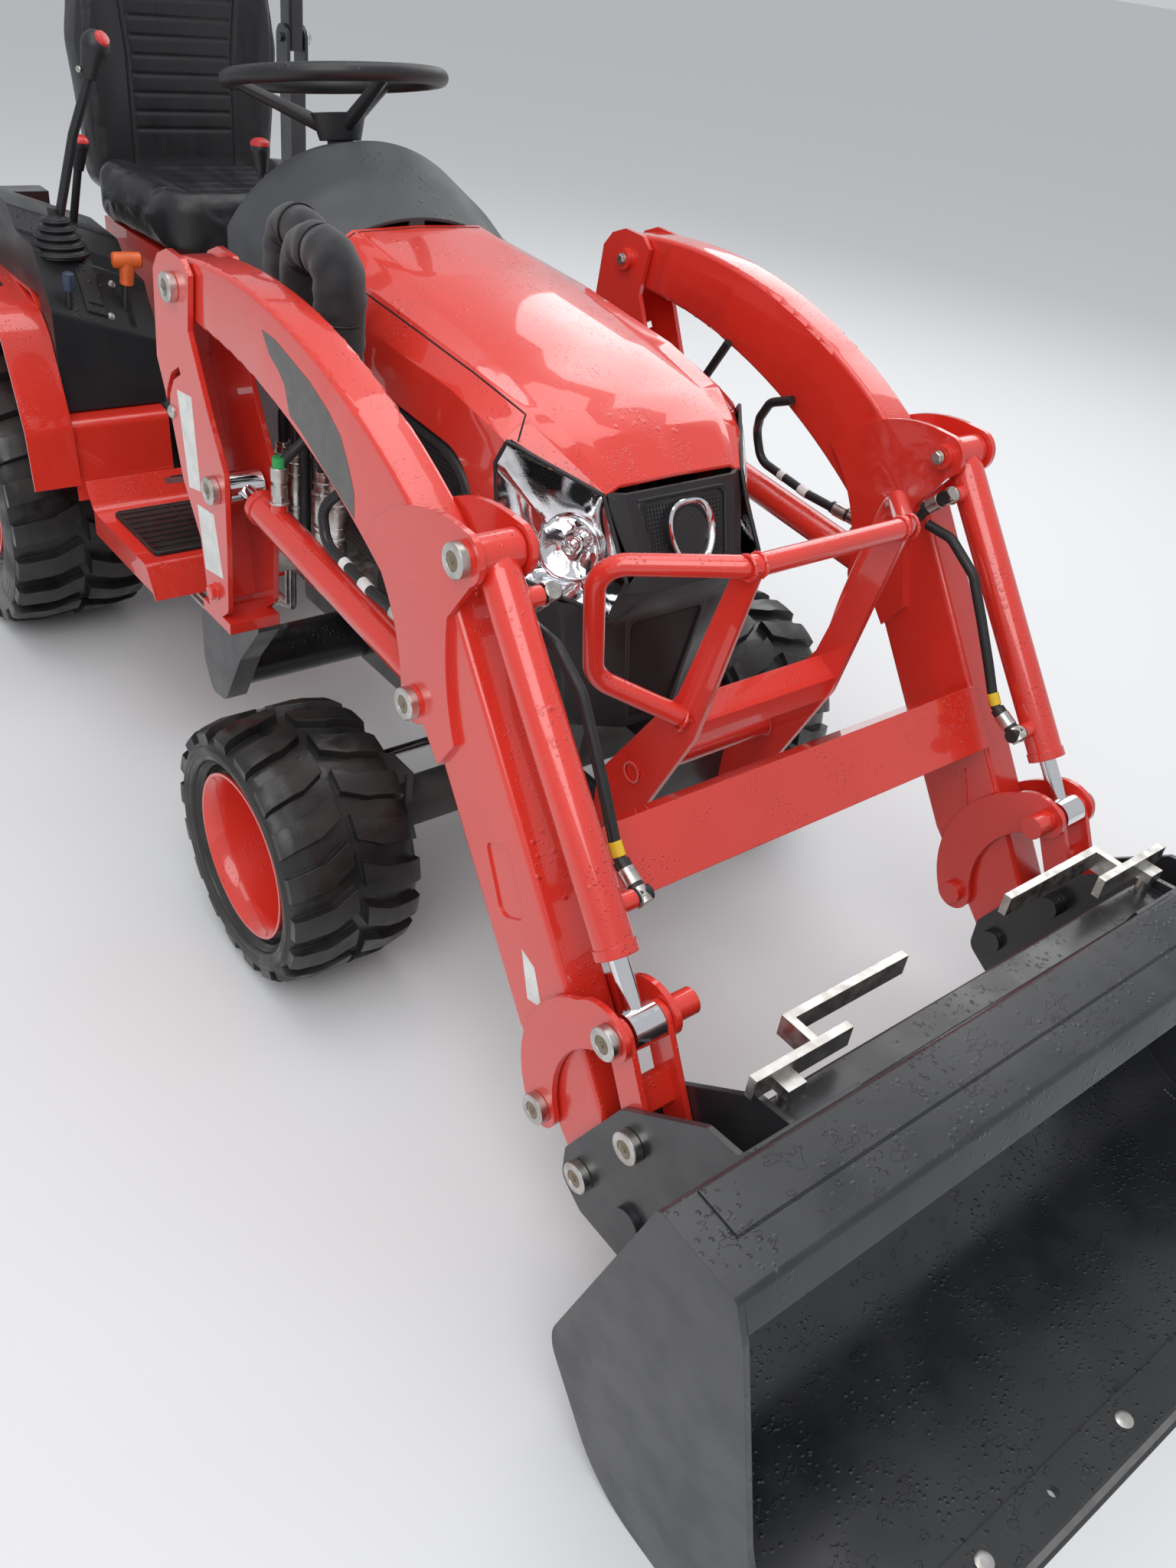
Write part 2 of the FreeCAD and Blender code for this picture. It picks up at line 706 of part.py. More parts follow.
def back_line(z, off):
    """The X of a line parallel to the bucket's back, off millimetres behind it."""
    run = BUCKET_TOP[0] - BUCKET_HEEL[0]
    rise = BUCKET_TOP[1] - BUCKET_HEEL[1]
    return BUCKET_HEEL[0] + (z - BUCKET_HEEL[1]) * run / rise - off * math.hypot(run, rise) / rise


def coupler():
    behind = SEAT + 10
    ear = [
        (back_line(500, SEAT), 500),
        (back_line(500, 60), 492, 12),
        (846, 392, 14),
        (762, 232, 20),
        (764, 178, 24),
        (810, 150, 10),
        (back_line(150, SEAT), 150),
    ]
    ears = [bored(one, PIVOT_E1, PIN_R) for one in cheeks(ear)]
    face = [
        (back_line(500, behind), 500),
        (back_line(500, SEAT), 500),
        (back_line(150, SEAT), 150),
        (back_line(150, behind), 150),
    ]
    panel = plate(face, ARM_Y - 150, ARM_Y + ARM_HALF + GAP + EAR_T)
    beams = [
        plate(
            [
                (back_line(z + 50, 52), z + 50, 6),
                (back_line(z + 50, behind - 1), z + 50),
                (back_line(z - 20, behind - 1), z - 20),
                (back_line(z - 20, 52), z - 20, 6),
            ],
            -ARM_Y + ARM_HALF + GAP + EAR_T,
            ARM_Y - ARM_HALF - GAP - EAR_T,
        )
        for z in (430, 185)
    ]
    reach = ARM_HALF + GAP + EAR_T
    stubs = [
        cross(PIVOT_E2, PIN_R, ARM_Y + reach - EAR_T - 1, ARM_Y + reach + 2),
        cross(PIVOT_E2, HEAD_R, ARM_Y + reach, ARM_Y + reach + HEAD_T),
        cross(PIVOT_E2, PIN_R, ARM_Y - reach - 30, ARM_Y - reach + EAR_T + 1),
        cross(PIVOT_E2, PIN_R + 6, ARM_Y - reach - 30, ARM_Y - reach),
    ]
    boss = cross((900, 232), 24, ARM_Y + reach, ARM_Y + reach + 10)
    side = fuse(ears, panel, stubs, pin(PIVOT_E1), boss)
    node("coupler", fuse(both(side), beams))
    handle = fuse(
        block(970, 982, 325, 430, LEVER_Z + 4, LEVER_Z + 36),
        block(922, 982, 268, 330, LEVER_Z + 4, LEVER_Z + 36).cut(
            block(934, 970, 260, 318, LEVER_Z, LEVER_Z + 40)
        ),
        block(922, 934, 110, 272, LEVER_Z + 4, LEVER_Z + 36),
        block(976, 1004, 366, 396, LEVER_Z + 4, LEVER_Z + 20),
        bar((992, 381, LEVER_Z - 20 + SEAT), (992, 381, LEVER_Z + 10), 10),
    )
    node("coupler_levers", both(handle))


def bucket():
    half = BUCKET_W / 2
    shell = strip(
        [
            (BUCKET_REACH - 62, 1),
            (BUCKET_REACH - 387, 1, 150),
            (BUCKET_HEEL[0], BUCKET_HEEL[1], 60),
            (BUCKET_TOP[0], BUCKET_TOP[1], 12),
            (BUCKET_TOP[0] + 116, 537, 10),
            (BUCKET_TOP[0] + 134, 500),
        ],
        -BUCKET_T,
    )
    sheet = plate(shell, -half + SIDE_T, half - SIDE_T)
    side = plate(
        [
            (BUCKET_REACH - 47, 1),
            (BUCKET_REACH - 387, 1, 150),
            (BUCKET_HEEL[0], BUCKET_HEEL[1], 60),
            (BUCKET_TOP[0], BUCKET_TOP[1], 12),
            (BUCKET_TOP[0] + 116, 537, 10),
            (BUCKET_TOP[0] + 138, 490, 40),
            (BUCKET_REACH - 171, 205, 200),
            (BUCKET_REACH - 37, 16),
        ],
        half - SIDE_T,
        half,
    )
    edge = plate([(EDGE_REAR, 0), (BUCKET_REACH, 0), (BUCKET_REACH - 17, 14), (EDGE_REAR, 14)], -half + SIDE_T, half - SIDE_T)
    body = fuse(sheet, both(side), edge)
    holes = [
        bar((EDGE_BOLT_X, EDGE_BOLT_STEP * i, -10), (EDGE_BOLT_X, EDGE_BOLT_STEP * i, 40), 8)
        for i in (-1.5, -0.5, 0.5, 1.5)
    ]
    node("bucket", body.cut(Part.makeCompound(holes)))


# The masts and the subframe that carries them

MAST_OUTER = [
    (-446, 1041),
    (-424, 1068),
    (-388, 1083),
    (-336, 1081),
    (-313, 1063),
    (-326, 979),
    (-267, 868),
    (-219, 792),
    (-222, 662),
    (-229, 548, 20),
    (-259, 525, 10),
    (-305, 527, 10),
    (-325, 643),
    (-382, 724),
    (-413, 817),
    (-456, 903),
]
MAST_FOOT_Z = 508


def masts():
    plates = cheeks(MAST_OUTER)
    half = ARM_HALF + GAP
    web = plate(
        [(-305, 535), (-325, 643), (-382, 724), (-413, 817), (-448, 903), (-440, 960),
         (-432, 960), (-440, 903), (-405, 819), (-374, 728), (-317, 647), (-297, 535)],
        ARM_Y - half,
        ARM_Y + half,
    )
    foot = block(-330, -225, ARM_Y - half - EAR_T, ARM_Y + half + EAR_T, MAST_FOOT_Z, MAST_FOOT_Z + 20)
    stubs = [
        cross(PIVOT_F, PIN_R, ARM_Y + half - 1, ARM_Y + half + EAR_T + 2),
        cross(PIVOT_F, HEAD_R, ARM_Y + half + EAR_T, ARM_Y + half + EAR_T + HEAD_T),
        cross(PIVOT_F, PIN_R, ARM_Y - half - EAR_T - HEAD_T, ARM_Y - half + 1),
    ]
    slot = plate(strip([(-370, 912), (-402, 893, 22), (-424, 858, 30), (-428, 826)], 12), ARM_Y, ARM_Y + 100)
    node("masts", both(fuse(plates, web, foot, pin(PIVOT_A), stubs).cut(slot)))


def loader_mount():
    half = ARM_HALF + GAP + EAR_T
    bracket = plate(
        [(-463, 330, 20), (-463, 430), (-330, MAST_FOOT_Z - SEAT), (-225, MAST_FOOT_Z - SEAT),
         (-225, 500), (-304, 405, 30), (-374, 282, 20), (-430, 272, 20)],
        ARM_Y - half,
        ARM_Y - half + 40,
    )
    tube = cross((-400, 345), 48, RAIL_Y + RAIL_T + SEAT + 12, ARM_Y - half)
    pad = block(-450, -200, RAIL_Y + RAIL_T + SEAT, RAIL_Y + RAIL_T + SEAT + 12, RAIL_LOW - 40, RAIL_TOP + 20)
    node("loader_mount", both(fuse(bracket, tube, pad)))


# The couplers and hoses between the right mast and the hood, and the lines under the floor

COUPLER_X = (-300, -255, -165, -120)
COUPLER_Y = 352
COUPLER_TOP = 800
MANIFOLD_TOP = 655
SLEEVE_R = 33
SLEEVES = (
    # y, rear leg x, front leg x, crown z, front leg's low end z
    (300, -380, -285, 1118, 962),
    (360, -210, -100, 1133, 985),
)


def hydraulics():
    mast_in = ARM_Y - ARM_HALF - GAP - EAR_T - SEAT
    manifold = fuse(
        block(-400, -95, COUPLER_Y - 62, COUPLER_Y + 20, MANIFOLD_TOP - 55, MANIFOLD_TOP),
        block(-320, -235, COUPLER_Y, mast_in, MANIFOLD_TOP - 55, MANIFOLD_TOP),
    )
    stages = ((0, 12), (12, 16), (44, 14), (60, 17), (100, 14), (122, 12), (COUPLER_TOP - MANIFOLD_TOP, 0))
    for x in COUPLER_X:
        for (low, radius), (high, _) in zip(stages, stages[1:]):
            manifold = manifold.fuse(bar((x, COUPLER_Y, MANIFOLD_TOP + low), (x, COUPLER_Y, MANIFOLD_TOP + high), radius))
    node("quick_couplers", mirror(manifold))
    made = []
    for i, (y, rear_x, front_x, crown, low) in enumerate(SLEEVES):
        sleeve = pipe([(rear_x, y, 900), (rear_x, y, crown), (front_x, y, crown), (front_x, y, low)], SLEEVE_R, 46)
        hoses_in = [bar((rear_x, y, MANIFOLD_TOP + SEAT), (rear_x, y, 905), 9)]
        for side, coupler_x in zip((-11, 11), COUPLER_X[2 * i:2 * i + 2]):
            x = front_x + side
            hoses_in.append(pipe(
                [(x, y, low + 10), (x, y, low - 40), (coupler_x, COUPLER_Y, COUPLER_TOP + 50),
                 (coupler_x, COUPLER_Y, COUPLER_TOP + SEAT)], HOSE_R, 24))
        made.append(mirror(fuse(sleeve, hoses_in)))
    node("feed_hoses", made)
    lines = []
    for d in (0, 18):
        lines.append(pipe(
            [(-900 - d, -100 - SEAT, 335 - d), (-900 - d, -350, 335 - d), (-625, -350, 335 - d),
             (-540 + d, -260, 395 - d), (-395 + d, -300, 445), (-395 + d, -300, MANIFOLD_TOP - 55 - SEAT)], 6, 24))
    node("steel_lines", lines)


# The grille guard

GUARD_TOP = (574, 150, 927)
GUARD_LOW = (506, 142, 659)
GUARD_FOOT = (415, 157, 517)
GUARD_UPPER_CORNER = (442, 294, 900)
GUARD_LOWER_CORNER = (430, 260, 718)


def grille_guard():
    strap = plate(
        [(RAIL_FRONT + RAIL_T + SEAT, RAIL_LOW), (RAIL_FRONT + RAIL_T + SEAT, RAIL_TOP + 40),
         (GUARD_LOW[0] - 20, GUARD_LOW[2] + 30), (GUARD_TOP[0] - 26, GUARD_TOP[2]),
         (GUARD_TOP[0] + 12, GUARD_TOP[2]), (GUARD_LOW[0] + 26, GUARD_LOW[2] - 20),
         (GUARD_FOOT[0] + 10, RAIL_LOW + 60), (GUARD_FOOT[0] - 20, RAIL_LOW)],
        GUARD_LOW[1] - 5,
        GUARD_LOW[1] + 5,
    )
    top, low = V(*GUARD_TOP), V(*GUARD_LOW)
    loop = pipe(
        [(top.x, 0, top.z), GUARD_TOP, GUARD_UPPER_CORNER, GUARD_LOWER_CORNER, GUARD_LOW], GUARD_R, 45
    )
    cross_bar = plate([(low.x - 22, low.z - 18), (low.x + 18, low.z - 36), (low.x + 26, low.z + 6),
                       (low.x - 12, low.z + 26)], -low.y, low.y)
    low_bar = cross((GUARD_FOOT[0] + 8, GUARD_FOOT[2]), GUARD_R, -GUARD_LOW[1], GUARD_LOW[1])
    node("grille_guard", fuse(both(strap), both(loop), cross_bar, low_bar))


# The hood and the nose

HOOD_SECTIONS = (
    # x, crown z, ridge y, ridge z, shoulder y, shoulder z, crease y, crease z, side y, side z
    (COWL_FRONT_X + SEAT, 1080, 128, 1076, 196, 1046, 228, 995, 238, 900),
    (-250, 1057, 138, 1054, 200, 1030, 230, 985, 238, 890),
    (0, 1018, 138, 1015, 196, 1003, 230, 970, 236, 875),
    (133, 986, 136, 984, 188, 976, 229, 945, 233, 850),
    (200, 958, 130, 957, 172, 940, 208, 900, 218, 820),
    (HOOD_FRONT_X, 908, 110, 906, 134, 896, 146, 870, 158, 790),
)
RIDGE_W = 15
RIDGE_H = 8
HOOD_HEM = 742
NOSE_LOW = 488
NOSE_TOP = 897
NOSE_RINGS = (
    # z, corner x, corner y, outer x, outer y
    (NOSE_TOP, 276, 108, HOOD_FRONT_X, 130),
    (765, 338, 90, 322, 130),
    (703, 293, 88, 298, 128),
)
NOSE_BACK = 190
WRAP_TOP = [(294, 88), (298, 128), (258, 186), (185, 220), (90, 228)]
WRAP_LOW = [(286, 50), (262, 88), (233, 130), (160, 175), (90, 195)]
WRAP_TOP_Z = 733
LAMP_OUTLINE = [
    # top corner, down the rear edge, along the bottom to the tip, and up the inner edge
    (147, 229, 945), (126, 231, 906), (140, 231, 825), (185, 221, 750), (262, 186, 742),
    (308, 134, 722), (334, 134, 790), (294, 134, 845), (262, 137, 895),
]
LAMP_BULGE = 16
LAMP_DEEP = 34
VENT_REAR = -440
VENT_FRONT = 88
VENT_Y = 228.5
VENT_LOW = 470
VENT_ARCH = [(VENT_REAR, 924), (-259, 910), (4, 891), ("via", 58, 862), (VENT_FRONT - 6, 800)]


def hood_section(row, inset):
    (x, crown, ridge_y, ridge_z, shoulder_y, shoulder_z, crease_y, crease_z, side_y, side_z) = row
    half = [
        (0, crown - inset),
        (ridge_y, ridge_z - inset),
        (ridge_y + RIDGE_W, ridge_z - RIDGE_H - inset),
        (shoulder_y - inset * 0.3, shoulder_z - inset),
        (crease_y - inset, crease_z - inset * 0.4),
        (side_y - inset, side_z),
        (side_y - inset, VENT_LOW),
    ]
    corners = [V(x, y, z) for y, z in half] + [V(x, -y, z) for y, z in reversed(half[1:])]
    return Part.makePolygon(corners + corners[:1])


def level_ring(half, z, inset):
    """A closed level outline from its left half, drawn in by an inset."""
    corners = [V(x - inset, y - inset, z) for x, y in half]
    corners = corners + [V(c.x, -c.y, c.z) for c in reversed(corners)]
    return Part.makePolygon(corners + corners[:1])


def lamp_body(outline, front, back):
    """A lens over an outline: a fan of faces to a point in front of it, walls, and a fan behind."""
    corners = [V(*point) for point in outline]
    middle = sum(corners, V(0, 0, 0)) / len(corners)
    normal = (corners[6] - corners[1]).cross(corners[3] - corners[0]).normalize()
    if normal.x < 0:
        normal = normal * -1
    rear = [corner - normal * back for corner in corners]
    tip, heel = middle + normal * front, middle - normal * back
    faces = []
    for i, one in enumerate(corners):
        j = (i + 1) % len(corners)
        two = corners[j]
        for triangle in ((one, two, tip), (one, rear[i], two), (two, rear[i], rear[j]), (rear[j], rear[i], heel)):
            faces.append(Part.Face(Part.makePolygon([*triangle, triangle[0]])))
    return Part.makeSolid(Part.makeShell(faces))


def grown(outline, room):
    """An outline of points in space, each moved away from the middle."""
    corners = [V(*point) for point in outline]
    middle = sum(corners, V(0, 0, 0)) / len(corners)
    return [corner + (corner - middle).normalize() * room for corner in corners]


def nose_form(inset):
    """The black nose: a prow between the lamps, and a part below that wraps round to the sides."""
    rings = [
        level_ring([(cx, cy), (ox, oy), (NOSE_BACK + inset, oy)], z, inset)
        for z, cx, cy, ox, oy in NOSE_RINGS
    ]
    prow = Part.makeLoft(rings, True, True)
    wrap = Part.makeLoft(
        [level_ring(WRAP_TOP, WRAP_TOP_Z, inset), level_ring(WRAP_LOW, NOSE_LOW, inset)], True, True
    )
    return fuse(prow, wrap)


def hood():
    outer = Part.makeLoft([hood_section(row, 0) for row in HOOD_SECTIONS], True, True)
    inner = Part.makeLoft([hood_section(row, PANEL) for row in HOOD_SECTIONS], True, True)
    vent = VENT_ARCH + [(VENT_FRONT, VENT_LOW - 20), (VENT_REAR, VENT_LOW - 20)]
    below = block(VENT_FRONT - 1, HOOD_FRONT_X + 50, -300, 300, VENT_LOW - 10, HOOD_HEM)
    lamp_holes = both(lamp_body(grown(LAMP_OUTLINE, SEAT), 60, LAMP_DEEP + SEAT))
    shell = outer.cut(inner).cut(plate(vent, -300, 300)).cut(below).cut(lamp_holes)
    node("hood", shell)
    nose = nose_form(0).cut(nose_form(PANEL)).cut(lamp_holes)
    upper_window = wall([(-86, 882, 14), (86, 882, 14), (70, 784, 14), (-70, 784, 14)], 230, 400)
    lower_window = wall([(-76, 690, 10), (76, 690, 10), (42, 505, 10), (-42, 505, 10)], 230, 400)
    upper_mesh = plate([(273.9, 893), (332.6, 768), (328, 768), (269, 893)], -88, 88)
    lower_mesh = plate([(288.8, 697), (282.3, 497), (278, 497), (284.5, 697)], -86, 86)
    lower_mesh = lower_mesh.common(wall([(-82, 700), (82, 700), (46, 490), (-46, 490)], 230, 400))
    facing = V(0.9, 0, 0.43)
    middle = V(BADGE[0], 0, BADGE[1])
    badge = Part.makeCylinder(BADGE_R, 16, middle, facing).cut(
        Part.makeCylinder(BADGE_R - 8, 18, middle, facing)
    )
    nose = fuse(nose.cut(upper_window).cut(lower_window), upper_mesh, lower_mesh, badge)
    nose = nose.cut(shell).cut(shell.translated(V(SEAT, 0, -SEAT)))
    node("nose_grille", max(nose.Solids, key=lambda solid: solid.Volume))
    node("headlamps", both(lamp_body(LAMP_OUTLINE, LAMP_BULGE, LAMP_DEEP)))
    sheet = plate(VENT_ARCH + [(VENT_FRONT, 700), (70, VENT_LOW, 30), (VENT_REAR, VENT_LOW, 30)],
                  VENT_Y - PANEL, VENT_Y)
    node("side_vents", both(sheet))


# The operator's place

def floor():
    deck = plate(
        strip([(-650, FLOOR_Z - 60), (-690, FLOOR_Z, 12), (-960, FLOOR_Z, 30), (-994, 474)], SHEET),
        170,
        FLOOR_HALF,
    )
    lip = plate(
        [(-655, FLOOR_Z - 50), (-692, FLOOR_Z - 1), (-960, FLOOR_Z - 1), (-960, FLOOR_Z - 50)],
        FLOOR_HALF - SHEET,
        FLOOR_HALF,
    )
    stay = block(-900, -860, 100 + SEAT, FLOOR_HALF - SHEET, FLOOR_Z - 44, FLOOR_Z - SHEET)
    node("floor", both(fuse(deck, lip, stay)))
    mat = slab(
        [(-930, 190, 10), (-930, FLOOR_HALF - 30, 10), (-715, FLOOR_HALF - 30, 10), (-715, 190, 10)],
        FLOOR_Z + SEAT,
        FLOOR_Z + 6,
    )
    node("floor_mats", both(mat))


FENDER_TOP = 815
FENDER_REAR = [(-1560, FENDER_TOP, 160), (-1720, 660, 60), (-1745, 540)]
LEDGE_BACK = (-1085, 600)
LEDGE_TOP_X = -1120
FENDER_LEDGE = [(-1000, 430), (-1012, 592, 20), (*LEDGE_BACK, 20), (LEDGE_TOP_X, FENDER_TOP, 60)]
FENDER_WING = [(-985, 470), (-1000, 585, 60), (-1090, 790, 120), (-1270, FENDER_TOP, 120)]
FENDER_SPLIT = 470
FENDER_STEP = [
    (-985, 470), (-1000, 585), (-1063, 729), ("via", -1100, 776), (-1156, 799),
    (-1118, 770), (-1087, 604), (-1012, 592), (-1000, 470),
]


def fenders():
    inner = plate(strip(FENDER_LEDGE + FENDER_REAR, SHEET), FENDER_IN, FENDER_SPLIT)
    wing = plate(strip(FENDER_WING + FENDER_REAR, SHEET), FENDER_SPLIT - SHEET, FENDER_OUT)
    step = plate(FENDER_STEP, FENDER_SPLIT - SHEET, FENDER_SPLIT)
    inside = plate(
        FENDER_LEDGE + FENDER_REAR + [(-1600, 500), (-1200, 500)], FENDER_IN, FENDER_IN + SHEET
    )
    pad = block(-1625, -1575, ROPS_FOOT_Y + ROPS_FOOT_T + SEAT, FENDER_IN + 1, 555, 605)
    node("fenders", both(fuse(inner, wing, step, inside, pad)))
    node("consoles", both(console_form()))


CONSOLE_TOP = [
    (-1050, 800, 20), (-1108, 880, 20), (-1120, 905, 10), (-1215, 915, 20), (-1250, 955, 25), (-1440, 965, 40),
]
CONSOLE_FALL = 75


def console_form():
    """A box beside the seat, whose top slopes down towards the seat."""
    y_in, y_out = FENDER_IN - 12, FENDER_SPLIT - 5
    body = plate(
        [(-1050, 600 + SEAT), (-1050, 1000), (-1440, 1000),
         (-1440, FENDER_TOP + SEAT), (LEDGE_TOP_X + SEAT, FENDER_TOP + SEAT),
         (LEDGE_BACK[0] + SEAT, LEDGE_BACK[1] + SEAT, 22)],
        y_in,
        y_out,
    )
    profile = ring([(-1050, 500), *CONSOLE_TOP, (-1440, 500)], lambda u, v: V(u, y_out, v))
    return body.common(Part.Face(profile).extrude(V(0, y_in - y_out, -CONSOLE_FALL)))


SEAT_LOW = 882
SEAT_TOP = 1004
SEAT_BACK_TOP = 1480


def softened(shape, radius, keep):
    """The shape with round edges, apart from those a test keeps sharp."""
    return shape.makeFillet(radius, [edge for edge in shape.Edges if not keep(edge.CenterOfMass)])


def seat():
    node("seat_frame", plate([(-1440, 560 + SEAT), (-1440, SEAT_LOW - SEAT), (-1100, SEAT_LOW - SEAT), (-1060, 800, 40),
                              (-1075, 560 + SEAT)], -205, 205))
    cushion = slab(
        [(-1035, -222, 80), (-1035, 222, 80), (-1440, 241, 50), (-1440, -241, 50)], SEAT_LOW, SEAT_TOP
    )
    node("seat_cushion", softened(cushion, 34, lambda at: SEAT_LOW + 1 < at.z < SEAT_TOP - 1))
    back = wall(
        [(-215, 900, 60), (-222, 1013), (-241, 1215, 160), (-200, SEAT_BACK_TOP, 110),
         (200, SEAT_BACK_TOP, 110), (241, 1215, 160), (222, 1013), (215, 900, 60)],
        -1550,
        -1440 - SEAT,
    )
    node("seat_back", softened(back, 26, lambda at: -1549 < at.x < -1441 - SEAT))


WHEEL_CENTRE = (-774, 0, 1260)
WHEEL_LEAN = 12
WHEEL_R = 190
WHEEL_DISH = 100
COWL_LOW = 640 + SEAT
HOOD_REST_Z = 1069.4


COWL_SECTIONS = (
    # x, half width, shoulder z, top z
    (COWL_FRONT_X, 240, 1000, 1092),
    (-560, 246, 1022, 1150),
    (-654, 248, 1035, 1181),
    (COWL_REAR_X, 244, 1028, 1166),
)
COWL_T = 6


def cowl_form(inset, front, rear):
    """The hump of the dash, drawn in by an inset and moved at its ends."""
    rings = []
    for i, (x, half, shoulder, top) in enumerate(COWL_SECTIONS):
        x += {0: front, len(COWL_SECTIONS) - 1: rear}.get(i, 0)
        half -= inset
        outline = [
            (-half, COWL_LOW), (-half, shoulder), ("via", 0, top - inset), (half, shoulder), (half, COWL_LOW),
        ]
        rings.append(ring(outline, lambda u, v: V(x, u, v)))
    return Part.makeLoft(rings, True, True)


def dash():
    hump = cowl_form(0, 0, 0)
    rest = fuse(
        block(COWL_FRONT_X - 8, -430, -15, 15, 1040, 1055),
        block(-450, -430, -15, 15, 1055, HOOD_REST_Z),
        block(COWL_FRONT_X - 8, COWL_FRONT_X, -15, 15, 1040, 1088),
    )
    node("dash_cowl", fuse(hump.cut(cowl_form(COWL_T, 1, 8)), rest))
    lean = math.radians(WHEEL_LEAN)
    top = V(*WHEEL_CENTRE)
    down = V(math.sin(lean), 0, -math.cos(lean))
    back = COWL_REAR_X - SEAT
    housing = plate(
        [(back, COWL_LOW), (back, 1132), (-770, 1126, 25), (-815, 1050, 30), (-800, 860, 60),
         (-745, COWL_LOW)],
        -100,
        100,
    )
    column = Part.makeCylinder(24, 120, top + down * (WHEEL_DISH + SEAT), down)
    node("steering_column", fuse(housing, column.cut(block(back, 0, -50, 50, 900, 1300))))
    hub = Part.makeCone(38, 50, 45, top + down * WHEEL_DISH, down * -1)
    tube = Part.makeTorus(WHEEL_R, 15, top, down)
    spokes = []
    for turn in (90, 210, 330):
        side = V(math.cos(lean) * math.sin(math.radians(turn)), math.cos(math.radians(turn)),
                 math.sin(lean) * math.sin(math.radians(turn)))
        inner, outer = top + down * (WHEEL_DISH - 25) + side * 30, top + side * (WHEEL_R - 3)
        spokes.append(Part.makeCone(14, 9, (outer - inner).Length, inner, outer - inner))
    node("steering_wheel", fuse(hub, tube, spokes))


# Levers and pedals, which stand on the consoles and the transmission

BOOT = (-1150, -405, 882)
STICK = [(-1150, -400, 940), (-1112, -367, 1103), (-1088, -347, 1175), (-1078, -335, 1215)]
PEDAL_Z = 470


def grip(base, tip, thin, thick):
    """A knob that widens from its base towards a round tip."""
    start, end = V(*base), V(*tip)
    return fuse(
        Part.makeCone(thin, thick, (end - start).Length, start, end - start), Part.makeSphere(thick, end)
    )


def controls():
    x, y, z = BOOT
    folds = [(0, 0), (56, 0)]
    for i in range(5):
        folds += [(56 - 8 * i, 10 + 14 * i), (45 - 8 * i, 17 + 14 * i)]
    folds += [(14, 86), (0, 86)]
    face = Part.Face(ring(folds, lambda u, v: V(x + u, y, z + v)))
    boot = face.revolve(V(x, y, z), V(0, 0, 1), 360)
    seated = mirror(console_form()).translated(V(0, 0, SEAT))
    joystick = fuse(boot, pipe(STICK, 9, 30), grip((-1080, -337, 1205), (-1068, -325, 1258), 16, 26))
    t_lever = fuse(
        bar((-1088, -308, 760), (-1076, -300, 872), 8),
        bar((-1078, -302, 838), (-1075, -299, 880), 13),
        bar((-1080, -325, 884), (-1070, -272, 884), 14),
    )
    stub = fuse(bar((-1068, -425, 780), (-1062, -423, 840), 6), bar((-1062, -423, 838), (-1059, -422, 868), 11))
    rear = fuse(bar((-1300, -330, 860), (-1262, -312, 1020), 8), grip((-1262, -312, 1012), (-1252, -308, 1060), 10, 17))
    gear = fuse(
        bar((-870, -60, 500.5 + SEAT), (-870, -103, 1090), 6), grip((-870, -102, 1085), (-870, -104, 1126), 11, 18)
    )
    on_console = [one.cut(seated) for one in (joystick, t_lever, stub, rear)]
    node("control_levers", on_console, gear)
    rod = cross((-790, PEDAL_Z), 8, 100 + SEAT, 302)
    pad = plate([(-850, 508), (-742, 553), (-746, 564), (-854, 519)], 262, 342)
    web = plate([(-802, PEDAL_Z), (-778, PEDAL_Z), (-782, 542), (-806, 532)], 296, 308)
    node("pedals", both(fuse(rod, pad, web)))


# The roll-over bar and the hitch

ROPS_X = -1735
ROPS_Y = 405
ROPS_PIVOT = (ROPS_X, 1210)
ROPS_TOP = 2080
ROPS_TUBE_X = 60
ROPS_TUBE_Y = 40
ROPS_FOOT_Y = 236
ROPS_FOOT_T = 12


